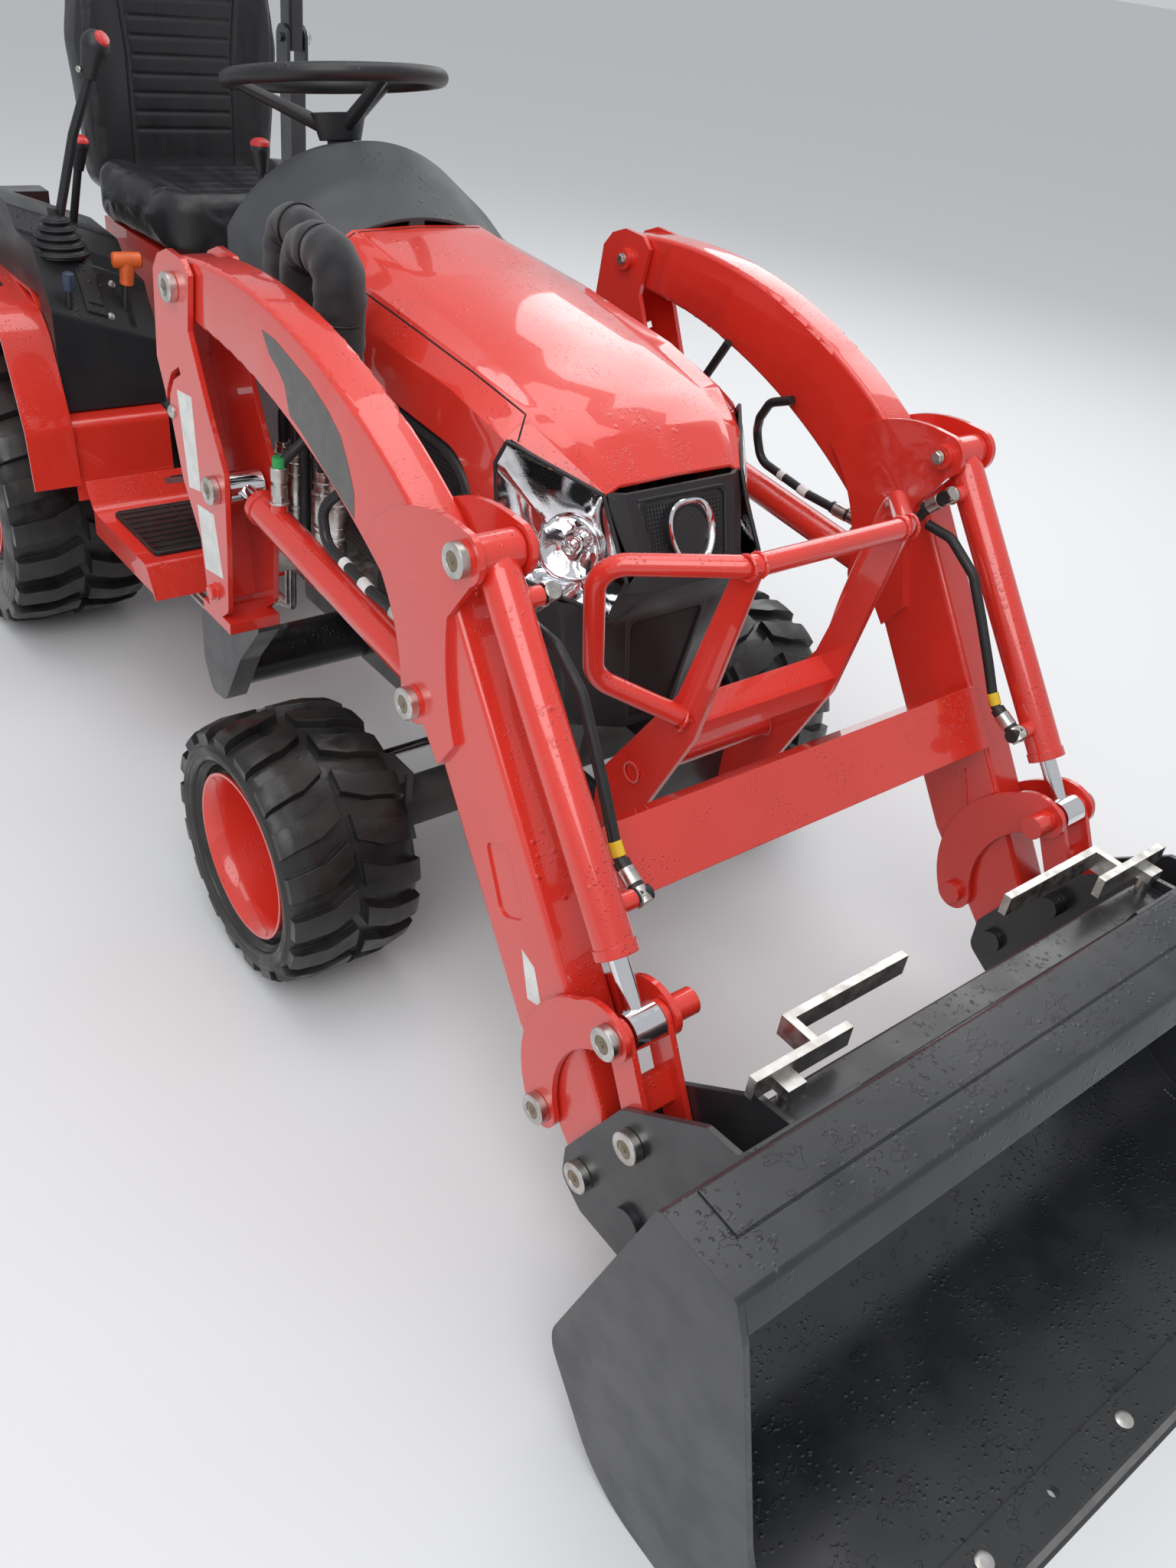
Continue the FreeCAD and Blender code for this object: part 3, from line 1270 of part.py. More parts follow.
def roll_bar():
    out_x, out_y = ROPS_TUBE_X / 2, ROPS_TUBE_Y / 2
    foot_z = FENDER_TOP + SEAT
    side = plate(
        [(REAR_X - 82, 270), (REAR_X + 82, 270), (REAR_X + 82, 400, 40), (-1560, 600), (ROPS_X + out_x, 720, 60),
         (ROPS_X + out_x, foot_z + 60), (ROPS_X - out_x, foot_z + 60), (ROPS_X - out_x, 700, 60),
         (REAR_X - 82, 400, 40)],
        ROPS_FOOT_Y,
        ROPS_FOOT_Y + ROPS_FOOT_T,
    ).cut(cross((REAR_X, AXLE_REAR_Z), TRUMPET_R + SEAT, 0, 400))
    post = fuse(
        side,
        block(ROPS_X - out_x, ROPS_X + out_x, ROPS_FOOT_Y, ROPS_Y + out_y, foot_z, foot_z + 60),
        block(ROPS_X - out_x, ROPS_X + out_x, ROPS_Y - out_y, ROPS_Y + out_y, foot_z,
              ROPS_PIVOT[1] - 70),
        [
            plate(link_outline((ROPS_X, 1140), ROPS_PIVOT, out_x), y, y + 8)
            for y in (ROPS_Y - out_y - 8, ROPS_Y + out_y)
        ],
        cross(ROPS_PIVOT, 10, ROPS_Y - 35, ROPS_Y + 35),
    )
    node("rops_posts", both(post))
    hoop = pipe(
        [(ROPS_X, ROPS_Y, ROPS_PIVOT[1] - 26), (ROPS_X, ROPS_Y, ROPS_TOP),
         (ROPS_X, -ROPS_Y, ROPS_TOP), (ROPS_X, -ROPS_Y, ROPS_PIVOT[1] - 26)],
        None,
        130,
        ring([(-out_x + 2, 1 - out_y, 8), (-out_x + 2, out_y - 1, 8), (out_x - 2, out_y - 1, 8),
              (out_x - 2, 1 - out_y, 8)], lambda u, v: V(ROPS_X + u, ROPS_Y + v, ROPS_PIVOT[1] - 26)),
    )
    node("rops_hoop", hoop.cut(cross(ROPS_PIVOT, 10 + FIT, -500, 500)))


LINK_PIVOT = (-1455, 236)
LINK_BALL = (-HITCH_REACH, 250)
LINK_SHARE = 0.52
LINK_Y = 215
LINK_PIN_R = 11
LIFT_SHAFT_R = 22
TOP_LINK_R = 9.7
LIFT_PIVOT = (-1448, 520)


def hitch():
    attach = between(LINK_PIVOT, LINK_BALL, LINK_SHARE)
    reach = (attach[0] - LINK_PIVOT[0], attach[1] - LINK_PIVOT[1])
    tip = (LIFT_PIVOT[0] + reach[0], LIFT_PIVOT[1] + reach[1])
    link_y = LINK_Y
    link = fuse(
        plate(link_outline(LINK_PIVOT, LINK_BALL, 17), link_y - 8, link_y + 8),
        cross(LINK_BALL, HITCH_BALL_R, link_y - 18, link_y + 18),
    )
    link = link.cut(cross(LINK_BALL, 11.3, 0, 400)).cut(cross(LINK_PIVOT, LINK_PIN_R + FIT, 0, 400))
    node("lower_links", both(link))
    arm = fuse(
        plate(link_outline(LIFT_PIVOT, tip, 22), link_y - 47, link_y - 27),
        cross(LIFT_PIVOT, 30, link_y - 60, link_y - 27),
    )
    shaft = cross(LIFT_PIVOT, LIFT_SHAFT_R, -link_y + 30, link_y - 30)
    node("lift_arms", fuse(both(arm), shaft, both(cross(tip, 10, link_y - 30, link_y + 2))))
    drop = fuse(
        cross(tip, 20, link_y - 25, link_y - 13).cut(cross(tip, 10 + FIT, 0, 400)),
        bar((tip[0], link_y - 19, tip[1] - 15), (attach[0], link_y - 19, attach[1] + 15), 6),
        cross(attach, 18, link_y - 27, link_y - 11),
    )
    node("lift_rods_hitch", both(drop))
    back = GEARBOX_REAR - SEAT
    ear = [(back, 440), (back, 548), (back - 62, 548, 20), (back - 62, 500, 20)]
    bracket = fuse(
        block(back - 14, back, -60, 60, 430, 556),
        [plate(ear, y, y + 12).cut(cross((back - 40, 524), TOP_LINK_R, -50, 50)) for y in (-36, 24)],
    )
    node("top_link_bracket", bracket)
    draw = slab(
        [(GEARBOX_REAR + 100, -30), (-1760, -30, 20), (-1760, 30, 20), (GEARBOX_REAR + 100, 30)],
        200 - SEAT,
        220 - SEAT,
    )
    node("drawbar", draw.cut(bar((-1735, 0, 100), (-1735, 0, 300), 11)))
    node("pto_shaft", bar((GEARBOX_REAR - SEAT, 0, 360), (GEARBOX_REAR - 90, 0, 360), 17.4))


def main():
    wheels()
    front_axle()
    knuckles()
    front_frame()
    power_train()
    rear_axle()
    boom()
    linkage()
    hoses()
    coupler()
    bucket()
    masts()
    loader_mount()
    hydraulics()
    grille_guard()
    hood()
    floor()
    fenders()
    seat()
    dash()
    controls()
    roll_bar()
    hitch()


main()
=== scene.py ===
# The looks of a sub-compact farm tractor with a front loader, fitted over its CAD frame.
import bpy
import bmesh
import json
import math
import random
from mathutils import Matrix, Vector
from mathutils.bvhtree import BVHTree


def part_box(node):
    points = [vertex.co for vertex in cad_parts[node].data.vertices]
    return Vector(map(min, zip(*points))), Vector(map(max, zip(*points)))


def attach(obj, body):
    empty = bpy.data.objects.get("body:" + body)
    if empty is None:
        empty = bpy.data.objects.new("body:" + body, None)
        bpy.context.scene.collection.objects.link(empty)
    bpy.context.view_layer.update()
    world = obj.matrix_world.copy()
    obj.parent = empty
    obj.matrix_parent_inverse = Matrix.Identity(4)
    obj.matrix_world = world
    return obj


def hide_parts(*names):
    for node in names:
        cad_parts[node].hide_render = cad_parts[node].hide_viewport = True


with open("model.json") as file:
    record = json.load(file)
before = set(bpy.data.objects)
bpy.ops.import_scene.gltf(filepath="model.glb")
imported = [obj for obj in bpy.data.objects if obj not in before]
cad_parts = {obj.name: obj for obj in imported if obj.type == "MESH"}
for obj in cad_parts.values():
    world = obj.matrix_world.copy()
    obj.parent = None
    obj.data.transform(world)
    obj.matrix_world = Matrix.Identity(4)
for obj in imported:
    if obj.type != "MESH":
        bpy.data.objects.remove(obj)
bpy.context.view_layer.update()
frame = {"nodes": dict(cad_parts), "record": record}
NODES = frame["nodes"]

EAST, NORTH = Vector((1, 0, 0)), Vector((0, 1, 0))
# How far the part's origin lies behind the front axle, in metres
SHIFT = 0.282


def at(x, y, z):
    """A place of the drawing, in millimetres from the front axle, in metres."""
    return Vector((x / 1000 + SHIFT, y / 1000, z / 1000))


# Camera, light and floor

EYE = Vector((1.545 + SHIFT, -1.266, 1.590))
YAW = math.radians(137.39)
PITCH = math.radians(-34.97)
ROLL = math.radians(8.3)
LENS = 29.0
FLOOR_REACH = 80


def camera():
    """Stand the camera where the photograph was taken from."""
    look = Vector((math.cos(PITCH) * math.cos(YAW), math.cos(PITCH) * math.sin(YAW), math.sin(PITCH)))
    level = look.cross(Vector((0, 0, 1))).normalized()
    upright = level.cross(look)
    right = math.cos(ROLL) * level + math.sin(ROLL) * upright
    up = math.cos(ROLL) * upright - math.sin(ROLL) * level
    data = bpy.data.cameras.new("camera")
    data.sensor_fit = "VERTICAL"
    data.sensor_height = 36
    data.lens = LENS
    data.clip_start = 0.02
    eye = bpy.data.objects.new("camera", data)
    eye.matrix_world = Matrix((right, up, -look)).transposed().to_4x4()
    eye.location = EYE
    bpy.context.scene.collection.objects.link(eye)
    bpy.context.scene.camera = eye


def area_light(name, place, aim, size, power):
    data = bpy.data.lights.new(name, "AREA")
    data.shape = "RECTANGLE"
    data.size, data.size_y = size
    data.energy = power
    lamp = bpy.data.objects.new(name, data)
    lamp.location = place
    lamp.rotation_euler = (Vector(aim) - Vector(place)).to_track_quat("-Z", "Y").to_euler()
    bpy.context.scene.collection.objects.link(lamp)


def studio():
    """Soft light from above and the sides, and a pale floor."""
    area_light("key_light", (2.6, -2.6, 4.2), (0, 0, 0.5), (3.4, 3.4), 105)
    area_light("fill_light", (-1.5, 3.5, 3.4), (0, 0, 0.5), (3.5, 2.5), 60)
    area_light("top_light", (-0.3, 0, 5.2), (0, 0, 0), (4.5, 3.0), 80)
    world = bpy.data.worlds.new("studio")
    world.use_nodes = True
    tree = world.node_tree
    tree.nodes["Background"].inputs["Color"].default_value = (0.90, 0.92, 0.95, 1)
    tree.nodes["Background"].inputs["Strength"].default_value = 0.62
    bpy.context.scene.world = world
    bpy.context.scene.view_settings.view_transform = "Standard"
    mesh = bpy.data.meshes.new("floor_stage")
    far = FLOOR_REACH
    mesh.from_pydata([(-far, -far, 0), (far, -far, 0), (far, far, 0), (-far, far, 0)], [], [(0, 1, 2, 3)])
    ground = bpy.data.objects.new("floor_stage", mesh)
    mat = bpy.data.materials.new("pale_floor")
    mat.use_nodes = True
    shader = mat.node_tree.nodes["Principled BSDF"]
    shader.inputs["Base Color"].default_value = (0.78, 0.79, 0.80, 1)
    shader.inputs["Roughness"].default_value = 0.75
    mesh.materials.append(mat)
    bpy.context.scene.collection.objects.link(ground)


# Materials

class Shade:
    """A material with one Principled shader, and short ways of adding nodes to it."""

    def __init__(self, name, colour, roughness, metallic=0.0, coat=0.0, coat_roughness=0.05, round_edge=0.0):
        self.mat = bpy.data.materials.new(name)
        self.mat.use_nodes = True
        self.tree = self.mat.node_tree
        self.shader = self.tree.nodes["Principled BSDF"]
        self.set("Base Color", (*colour, 1))
        self.set("Roughness", roughness)
        self.set("Metallic", metallic)
        self.set("Coat Weight", coat)
        self.set("Coat Roughness", coat_roughness)
        self.place = self.add("ShaderNodeTexCoord").outputs["Object"]
        self.bumps = None
        if round_edge:
            rounding = self.add("ShaderNodeBevel", samples=4)
            rounding.inputs["Radius"].default_value = round_edge
            self.bumps = rounding.outputs["Normal"]
            self.join(self.bumps, self.shader.inputs["Normal"])

    def add(self, kind, **values):
        node = self.tree.nodes.new(kind)
        for key, value in values.items():
            setattr(node, key, value)
        return node

    def join(self, source, target):
        self.tree.links.new(source, target)

    def set(self, name, value):
        self.shader.inputs[name].default_value = value

    def noise(self, scale, detail=2.0, rough=0.5, place=None):
        node = self.add("ShaderNodeTexNoise")
        node.inputs["Scale"].default_value = scale
        node.inputs["Detail"].default_value = detail
        node.inputs["Roughness"].default_value = rough
        self.join(place or self.place, node.inputs["Vector"])
        return node.outputs["Fac"]

    def spots(self, scale, randomness=1.0):
        node = self.add("ShaderNodeTexVoronoi", feature="F1")
        node.inputs["Scale"].default_value = scale
        node.inputs["Randomness"].default_value = randomness
        self.join(self.place, node.inputs["Vector"])
        return node.outputs["Distance"]

    def ramp(self, source, stops):
        node = self.add("ShaderNodeValToRGB")
        node.color_ramp.interpolation = "EASE"
        points = node.color_ramp.elements
        while len(points) < len(stops):
            points.new(0.5)
        for point, (where, value) in zip(points, stops):
            point.position = where
            grey = value if isinstance(value, tuple) else (value, value, value)
            point.color = (*grey, 1)
        self.join(source, node.inputs["Fac"])
        return node.outputs["Color"]

    def maths(self, operation, one, two=0.0):
        node = self.add("ShaderNodeMath", operation=operation)
        for socket, value in zip(node.inputs, (one, two)):
            if isinstance(value, (int, float)):
                socket.default_value = value
            else:
                self.join(value, socket)
        return node.outputs["Value"]

    def stretched(self, scale):
        """Object coordinates, scaled along each axis."""
        node = self.add("ShaderNodeMapping")
        node.inputs["Scale"].default_value = scale
        self.join(self.place, node.inputs["Vector"])
        return node.outputs["Vector"]

    def split(self, vector):
        node = self.add("ShaderNodeSeparateXYZ")
        self.join(vector, node.inputs["Vector"])
        return node.outputs

    def facing_up(self, low=0.1, high=0.6):
        """1 on surfaces that face the sky, 0 on the others."""
        geometry = self.add("ShaderNodeNewGeometry")
        return self.ramp(self.split(geometry.outputs["Normal"])["Z"], [(low, 0.0), (high, 1.0)])

    def radius_from(self, x, z):
        """Distance from a line across the tractor."""
        parts = self.split(self.place)
        one = self.maths("SUBTRACT", parts["X"], x)
        two = self.maths("SUBTRACT", parts["Z"], z)
        return self.maths(
            "SQRT", self.maths("ADD", self.maths("MULTIPLY", one, one), self.maths("MULTIPLY", two, two))
        )

    def bump(self, height, distance, strength=1.0):
        node = self.add("ShaderNodeBump")
        node.inputs["Distance"].default_value = distance
        node.inputs["Strength"].default_value = strength
        self.join(height, node.inputs["Height"])
        if self.bumps:
            self.join(self.bumps, node.inputs["Normal"])
        self.bumps = node.outputs["Normal"]
        self.join(self.bumps, self.shader.inputs["Normal"])

    def colours(self, source, low, high, span=(0.3, 0.7)):
        """The base colour, varied between two by a texture."""
        self.join(self.ramp(source, [(span[0], low), (span[1], high)]), self.shader.inputs["Base Color"])

    def roughs(self, source, low, high, span=(0.3, 0.7)):
        self.join(self.ramp(source, [(span[0], low), (span[1], high)]), self.shader.inputs["Roughness"])


def drops(shade, scale, height, cover=(0.45, 0.6)):
    """Rain drops that stand on surfaces facing up."""
    bead = shade.ramp(shade.spots(scale), [(0.0, 1.0), (0.34, 0.0)])
    where = shade.ramp(shade.noise(scale * 0.12, 1), [(cover[0], 0.0), (cover[1], 1.0)])
    wet = shade.maths("MULTIPLY", shade.maths("MULTIPLY", bead, where), shade.facing_up())
    shade.bump(wet, height)


def puddles(shade, scale, height):
    """Flat pools and runs of water on surfaces facing up."""
    waves = shade.noise(scale, 3, 0.6, shade.stretched((1.6, 1, 1.6)))
    pool = shade.ramp(waves, [(0.605, 0.0), (0.625, 1.0)])
    shade.bump(shade.maths("MULTIPLY", pool, shade.facing_up(0.5, 0.8)), height)


def tyre_shade(name, x, z, wall):
    """Wet rubber, with fine rings moulded in the side walls round the axle."""
    tyre = Shade(name, (0.012, 0.012, 0.013), 0.5, round_edge=0.002)
    tyre.colours(tyre.noise(9, 5), (0.009, 0.009, 0.010), (0.026, 0.024, 0.022))
    tyre.roughs(tyre.noise(16, 4), 0.16, 0.55)
    radius = tyre.radius_from(x, z)
    wave = tyre.maths("SINE", tyre.maths("MULTIPLY", radius, 2 * math.pi / 0.011))
    rings = tyre.maths("MULTIPLY", tyre.maths("MAXIMUM", wave, 0.0), tyre.maths("LESS_THAN", radius, wall))
    tyre.bump(rings, 0.0011)
    tyre.bump(tyre.noise(500, 2), 0.0004, 0.4)
    tyre.bump(tyre.noise(90, 3), 0.0010, 0.3)
    return tyre.mat


def make_materials():
    """The finishes of the record's slots first, and then those that only the trim has."""
    made = {}
    red = Shade("red_paint", (0.70, 0.030, 0.016), 0.30, coat=1.0, coat_roughness=0.04, round_edge=0.0022)
    red.colours(red.noise(2.2), (0.66, 0.026, 0.014), (0.73, 0.035, 0.020))
    red.roughs(red.noise(5, 4), 0.24, 0.40)
    red.bump(red.noise(420, 1), 0.00012, 0.25)
    drops(red, 160, 0.0016)
    drops(red, 62, 0.0022, (0.60, 0.68))
    made["red_paint"] = red.mat
    black = Shade("black_paint", (0.018, 0.019, 0.021), 0.34, coat=0.35, coat_roughness=0.2, round_edge=0.002)
    black.roughs(black.noise(14, 4), 0.24, 0.46)
    black.colours(black.noise(6, 5), (0.014, 0.015, 0.017), (0.026, 0.027, 0.030))
    black.bump(black.noise(300, 2), 0.0002, 0.3)
    drops(black, 90, 0.0018)
    puddles(black, 26, 0.0012)
    made["black_paint"] = black.mat
    cast = Shade("cast_grey", (0.05, 0.05, 0.053), 0.55, round_edge=0.003)
    cast.colours(cast.noise(12, 5), (0.034, 0.034, 0.037), (0.072, 0.070, 0.068))
    cast.roughs(cast.noise(20, 3), 0.42, 0.68)
    cast.bump(cast.noise(260, 3), 0.0008, 0.5)
    made["cast_grey"] = cast.mat
    made["tyre"] = tyre_shade("tyre", SHIFT, 0.230, 0.196)
    made["rear_tyre"] = tyre_shade("rear_tyre", SHIFT - 1.398, 0.330, 0.286)
    chrome = Shade("chrome", (0.78, 0.78, 0.80), 0.09, metallic=1.0)
    chrome.roughs(chrome.noise(70, 3), 0.05, 0.16)
    made["chrome"] = chrome.mat
    zinc = Shade("zinc", (0.58, 0.57, 0.54), 0.32, metallic=1.0, round_edge=0.0008)
    zinc.roughs(zinc.noise(60, 3), 0.24, 0.45)
    zinc.colours(zinc.noise(45, 4), (0.47, 0.45, 0.41), (0.66, 0.65, 0.63))
    made["zinc"] = zinc.mat
    charcoal = Shade("charcoal_plastic", (0.045, 0.048, 0.053), 0.50, round_edge=0.003)
    charcoal.roughs(charcoal.noise(8, 4), 0.40, 0.58)
    charcoal.bump(charcoal.noise(900, 2), 0.0004, 0.5)
    drops(charcoal, 70, 0.0014, (0.55, 0.66))
    made["charcoal_plastic"] = charcoal.mat
    plastic = Shade("black_plastic", (0.016, 0.016, 0.018), 0.42, round_edge=0.0025)
    plastic.roughs(plastic.noise(7, 4), 0.28, 0.52)
    plastic.bump(plastic.noise(900, 2), 0.0003, 0.5)
    drops(plastic, 80, 0.0012, (0.56, 0.66))
    made["black_plastic"] = plastic.mat
    lens = Shade("lamp_lens", (1, 1, 1), 0.02)
    lens.set("Transmission Weight", 1.0)
    lens.set("IOR", 1.25)
    made["lamp_lens"] = lens.mat
    vinyl = Shade("seat_vinyl", (0.017, 0.017, 0.019), 0.40)
    vinyl.bump(vinyl.spots(700), 0.00035, 0.45)
    vinyl.bump(vinyl.noise(26, 3), 0.0022, 0.35)
    vinyl.roughs(vinyl.noise(9, 5, place=vinyl.stretched((1, 2.2, 0.5))), 0.20, 0.52)
    made["seat_vinyl"] = vinyl.mat
    rubber = Shade("rubber", (0.014, 0.014, 0.015), 0.55, round_edge=0.001)
    rubber.roughs(rubber.noise(30, 3), 0.36, 0.62)
    rubber.bump(rubber.noise(300, 2), 0.0003, 0.4)
    made["rubber"] = rubber.mat
    fabric = Shade("sleeve_fabric", (0.012, 0.012, 0.014), 0.85)
    fabric.set("Sheen Weight", 0.25)
    weave = fabric.maths("MULTIPLY", fabric.spots(900, randomness=0.15), 1.6)
    fabric.bump(weave, 0.0006, 0.6)
    fabric.colours(fabric.noise(35, 4), (0.008, 0.008, 0.010), (0.022, 0.022, 0.025))
    made["sleeve_fabric"] = fabric.mat
    plain = {
        # name: colour, roughness, metallic, coat
        "grease": ((0.16, 0.115, 0.055), 0.38, 0.0, 0.6),
        "white_label": ((0.80, 0.80, 0.78), 0.35, 0.0, 0.5),
        "dark_decal": ((0.040, 0.033, 0.027), 0.30, 0.0, 0.8),
        "yellow_band": ((0.80, 0.52, 0.02), 0.42, 0.0, 0.0),
        "green_band": ((0.02, 0.34, 0.08), 0.45, 0.0, 0.0),
        "orange_grip": ((0.78, 0.13, 0.02), 0.42, 0.0, 0.1),
        "red_knob": ((0.62, 0.03, 0.03), 0.36, 0.0, 0.2),
        "slate_cap": ((0.035, 0.055, 0.095), 0.42, 0.0, 0.0),
        # painted shade: a near-black finish for the shade inside the hood's panel seams and the console's slots
        "gap_painted_shade": ((0.004, 0.004, 0.004), 0.80, 0.0, 0.0),
        "reflector": ((0.90, 0.91, 0.93), 0.05, 1.0, 0.0),
        "worn_steel": ((0.30, 0.29, 0.28), 0.38, 1.0, 0.0),
        "thread": ((0.030, 0.030, 0.033), 0.70, 0.0, 0.0),
    }
    for name, (colour, rough, metallic, coat) in plain.items():
        shade = Shade(name, colour, rough, metallic=metallic, coat=coat, round_edge=0.0006)
        low = tuple(0.82 * value for value in colour)
        shade.colours(shade.noise(38, 4), low, colour)
        shade.roughs(shade.noise(55, 3), rough * 0.75, min(1.0, rough * 1.3))
        shade.bump(shade.noise(400, 2), 0.00015, 0.4)
        made[name] = shade.mat
    return made


SMOOTH_ANGLE = math.radians(34)


def smoothing():
    """Nodes that join a CAD node's faces, smooth them, and keep the edges that are really sharp."""
    group = bpy.data.node_groups.new("smooth_by_angle", "GeometryNodeTree")
    group.interface.new_socket("Geometry", in_out="INPUT", socket_type="NodeSocketGeometry")
    group.interface.new_socket("Geometry", in_out="OUTPUT", socket_type="NodeSocketGeometry")
    start = group.nodes.new("NodeGroupInput").outputs[0]
    for name in ("custom_normal", "sharp_edge", "sharp_face"):
        remove = group.nodes.new("GeometryNodeRemoveAttribute")
        remove.inputs["Name"].default_value = name
        group.links.new(start, remove.inputs["Geometry"])
        start = remove.outputs["Geometry"]
    merge = group.nodes.new("GeometryNodeMergeByDistance")
    merge.inputs["Distance"].default_value = 0.00002
    group.links.new(start, merge.inputs["Geometry"])
    faces = group.nodes.new("GeometryNodeSetShadeSmooth")
    faces.domain = "FACE"
    faces.inputs["Shade Smooth"].default_value = True
    group.links.new(merge.outputs["Geometry"], faces.inputs["Geometry"])
    angle = group.nodes.new("GeometryNodeInputMeshEdgeAngle")
    sharp = group.nodes.new("FunctionNodeCompare")
    sharp.operation = "GREATER_THAN"
    sharp.inputs["B"].default_value = SMOOTH_ANGLE
    group.links.new(angle.outputs["Unsigned Angle"], sharp.inputs["A"])
    edges = group.nodes.new("GeometryNodeSetShadeSmooth")
    edges.domain = "EDGE"
    edges.inputs["Shade Smooth"].default_value = False
    group.links.new(faces.outputs["Geometry"], edges.inputs["Geometry"])
    group.links.new(sharp.outputs["Result"], edges.inputs["Selection"])
    end = group.nodes.new("NodeGroupOutput")
    group.links.new(edges.outputs["Geometry"], end.inputs[0])
    return group


def dress():
    """Give each CAD node its finish and smooth shading."""
    group = smoothing()
    for part in frame["record"]["subparts"]:
        piece = NODES[part["node"]]
        finish = part["material_slot"]
        if piece.name.startswith("rear_tyre"):
            finish = "rear_tyre"
        for slot in piece.material_slots:
            slot.link = "OBJECT"
            slot.material = MATERIALS[finish]
        piece.modifiers.new("smooth", "NODES").node_group = group


# Small shapes

def circle(middle, one, two, radius, count, first=0.0, last=math.tau):
    """Places round a circle in the plane of two directions, without the one at the last turn."""
    turns = (first + (last - first) * k / count for k in range(count))
    return [middle + (one * math.cos(turn) + two * math.sin(turn)) * radius for turn in turns]


def applied(piece):
    """The piece's mesh with its modifiers worked in."""
    bpy.context.view_layer.update()
    graph = bpy.context.evaluated_depsgraph_get()
    mesh = bpy.data.meshes.new_from_object(piece.evaluated_get(graph))
    piece.modifiers.clear()
    piece.data = mesh
    return mesh


def surface(mesh):
    """A tree of the mesh's faces, to send rays at."""
    corners = [vertex.co.copy() for vertex in mesh.vertices]
    return BVHTree.FromPolygons(corners, [tuple(face.vertices) for face in mesh.polygons])


class Skin:
    """The surface of a CAD node, to lay trim on."""

    def __init__(self, name):
        self.tree = surface(NODES[name].data)

    def seen(self, place, towards):
        """The first point of the surface from a place in a direction, and the outward normal there."""
        towards = Vector(towards).normalized()
        hit, normal, _, _ = self.tree.ray_cast(place, towards)
        if hit is None:
            return None, None
        return hit, normal if normal.dot(towards) < 0 else -normal

    def line(self, places, towards=(0, 0, -1)):
        """The points and normals found from several places, without those that miss."""
        return [found for found in (self.seen(place, towards) for place in places) if found[0]]

    def points(self, places, towards=(0, 0, -1)):
        return [hit for hit, _ in self.line(places, towards)]

    def outline(self, drawn, side):
        """Drawn (x, z) corners on a side face, seen from outside."""
        found = self.line([at(x, side * 700, z) for x, z in drawn], (0, -side, 0))
        return [hit for hit, normal in found if abs(normal.y) > 0.9]


